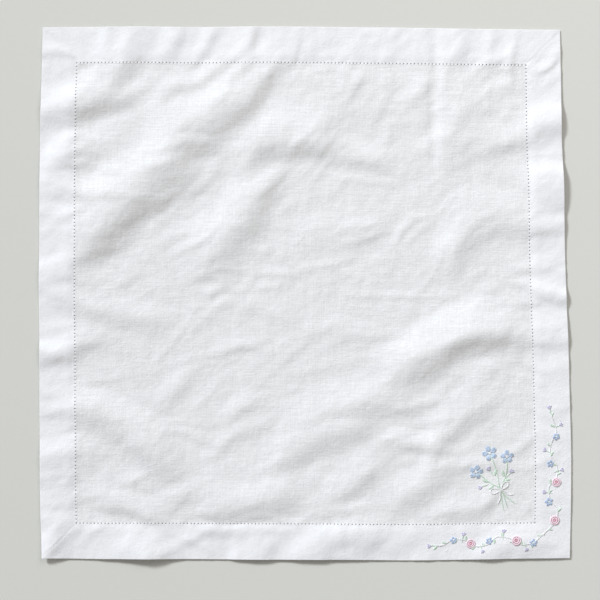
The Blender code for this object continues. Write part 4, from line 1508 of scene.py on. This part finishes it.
class HANDKERCHIEF_OT_embroider_roses(Operator):
    """Embroider the bullion roses"""
    bl_idname = "handkerchief.embroider_roses"
    bl_label = "Embroider roses"

    def execute(self, context):
        cloth, stitches, _ = settings(context)
        width = stitches.thread_width
        on_hem = cloth.hem_thickness / MM + 0.35
        pink = thread_material("pink_thread", stitches.pink)
        deep_pink = thread_material("deep_pink_thread", stitches.deep_pink)
        roses = of_kind(SPRIGS, "rose")
        outer = [line for sprig in roses for line in rose_wraps(sprig, 2.7, 5, 20)]
        sew("rose_petals", outer, bullion_tree(), pink, stitches, cloth,
            0.00032, width, width, on_hem, 0.06)
        inner = [line for sprig in roses for line in rose_wraps(sprig, 1.55, 3, 50)]
        sew("rose_middles", inner, bullion_tree(), pink, stitches, cloth,
            0.00032, width, width, on_hem + 0.15, 0.06)
        hearts = [Line(arc(sprig.x + shift, sprig.y - shift, 0.7, start, start + 150, 4), 1.2)
                  for sprig in roses for shift, start in ((0.3, 0), (-0.3, 180))]
        sew("rose_hearts", hearts, bullion_tree(), deep_pink, stitches, cloth,
            0.00032, width, width, on_hem + 0.3, 0.06)
        return {"FINISHED"}


def floor_material(stage):
    """Smooth pale board with a faint mottle."""
    material = bpy.data.materials.new("pale_board")
    material.use_nodes = True
    tree = material.node_tree
    shader = tree.nodes["Principled BSDF"]
    place = add_node(tree, "ShaderNodeTexCoord")
    mottle = add_node(tree, "ShaderNodeTexNoise", Vector=place.outputs["Object"], Scale=260.0,
                      Detail=4.0)
    dark = tuple(channel * 0.98 for channel in stage.floor_colour)
    mixed = mix_colour(tree, mottle.outputs["Fac"], opaque(dark), opaque(stage.floor_colour))
    connect(tree, mixed, shader.inputs["Base Color"])
    shader.inputs["Roughness"].default_value = 0.8
    shader.inputs["Specular IOR Level"].default_value = 0.2
    return material


class HANDKERCHIEF_OT_set_stage(Operator):
    """Add the floor, the lights and a camera straight above the cloth"""
    bl_idname = "handkerchief.set_stage"
    bl_label = "Set the stage"

    def execute(self, context):
        stage = settings(context)[2]
        scene = context.scene
        add_floor(scene, stage)
        add_key(scene, stage)
        add_fill(scene, stage)
        add_wash(scene, stage)
        add_camera(scene, stage)
        scene.view_settings.view_transform = "Standard"
        return {"FINISHED"}


FLOOR_DROP = 0.0002
FLOOR_REACH = 5.0


def add_floor(scene, stage):
    """A plain level floor a hair under the cloth."""
    mesh = bpy.data.meshes.new("floor")
    corners = [(-1, -1), (1, -1), (1, 1), (-1, 1)]
    mesh.from_pydata([(x * FLOOR_REACH, y * FLOOR_REACH, -FLOOR_DROP) for x, y in corners], [],
                     [(0, 1, 2, 3)])
    mesh.materials.append(floor_material(stage))
    floor = bpy.data.objects.new("floor", mesh)
    scene.collection.objects.link(floor)


def add_key(scene, stage):
    """A broad soft light from the upper left."""
    data = bpy.data.lights.new("key", "SUN")
    data.energy = stage.key_strength
    data.angle = stage.key_softness
    data.color = (0.938, 1.0, 1.062)
    key = bpy.data.objects.new("key", data)
    level = math.cos(stage.key_height)
    towards = Vector((level * math.cos(stage.key_bearing), level * math.sin(stage.key_bearing),
                      math.sin(stage.key_height)))
    key.rotation_mode = "QUATERNION"
    key.rotation_quaternion = towards.to_track_quat("Z", "Y")
    key.location = towards * 2.0
    scene.collection.objects.link(key)


def add_fill(scene, stage):
    """Even studio light from all round."""
    world = bpy.data.worlds.new("studio")
    world.use_nodes = True
    background = world.node_tree.nodes["Background"]
    background.inputs["Color"].default_value = (1.022, 1.0, 0.966, 1.0)
    background.inputs["Strength"].default_value = stage.fill_strength
    scene.world = world


def add_wash(scene, stage):
    """A broad lamp beyond the upper right corner, so that the light falls off down the cloth."""
    data = bpy.data.lights.new("wash", "AREA")
    data.energy = stage.wash_power
    data.size = 0.9
    data.color = (1.007, 1.0, 0.984)
    wash = bpy.data.objects.new("wash", data)
    wash.location = (0.46, 0.90, 1.0)
    wash.rotation_mode = "QUATERNION"
    wash.rotation_quaternion = wash.location.to_track_quat("Z", "Y")
    scene.collection.objects.link(wash)


def add_camera(scene, stage):
    """A long lens that looks straight down."""
    data = bpy.data.cameras.new("camera")
    data.sensor_width = 36.0
    data.lens = data.sensor_width * stage.camera_height / stage.view_width
    data.clip_end = 20.0
    camera = bpy.data.objects.new("camera", data)
    camera.location = (-4.05 * MM, -5.25 * MM, stage.camera_height)
    scene.collection.objects.link(camera)
    scene.camera = camera


class HANDKERCHIEF_PT_panel(Panel):
    """Sizes, colours and steps of the handkerchief"""
    bl_label = "Handkerchief"
    bl_idname = "HANDKERCHIEF_PT_panel"
    bl_space_type = "VIEW_3D"
    bl_region_type = "UI"
    bl_category = "Handkerchief"

    def draw(self, context):
        layout = self.layout
        for group in settings(context):
            box = layout.box()
            for name in group.__annotations__:
                box.prop(group, name)
        for operator in OPERATORS:
            layout.operator(operator.bl_idname)


OPERATORS = (
    HANDKERCHIEF_OT_set_stage,
    HANDKERCHIEF_OT_lay_cloth,
    HANDKERCHIEF_OT_hemstitch,
    HANDKERCHIEF_OT_embroider_stems,
    HANDKERCHIEF_OT_embroider_blooms,
    HANDKERCHIEF_OT_embroider_roses,
)
GROUPS = (ClothSettings, StitchSettings, StageSettings)


def register():
    for item in GROUPS + OPERATORS + (HANDKERCHIEF_PT_panel,):
        bpy.utils.register_class(item)
    scene_type = bpy.types.Scene
    scene_type.handkerchief_cloth = PointerProperty(type=ClothSettings)
    scene_type.handkerchief_stitches = PointerProperty(type=StitchSettings)
    scene_type.handkerchief_stage = PointerProperty(type=StageSettings)


def unregister():
    scene_type = bpy.types.Scene
    del scene_type.handkerchief_cloth
    del scene_type.handkerchief_stitches
    del scene_type.handkerchief_stage
    for item in reversed(GROUPS + OPERATORS + (HANDKERCHIEF_PT_panel,)):
        bpy.utils.unregister_class(item)


def main():
    """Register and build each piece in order."""
    register()
    bpy.ops.handkerchief.set_stage()
    bpy.ops.handkerchief.lay_cloth()
    bpy.ops.handkerchief.hemstitch()
    bpy.ops.handkerchief.embroider_stems()
    bpy.ops.handkerchief.embroider_blooms()
    bpy.ops.handkerchief.embroider_roses()


if __name__ == "__main__":
    main()
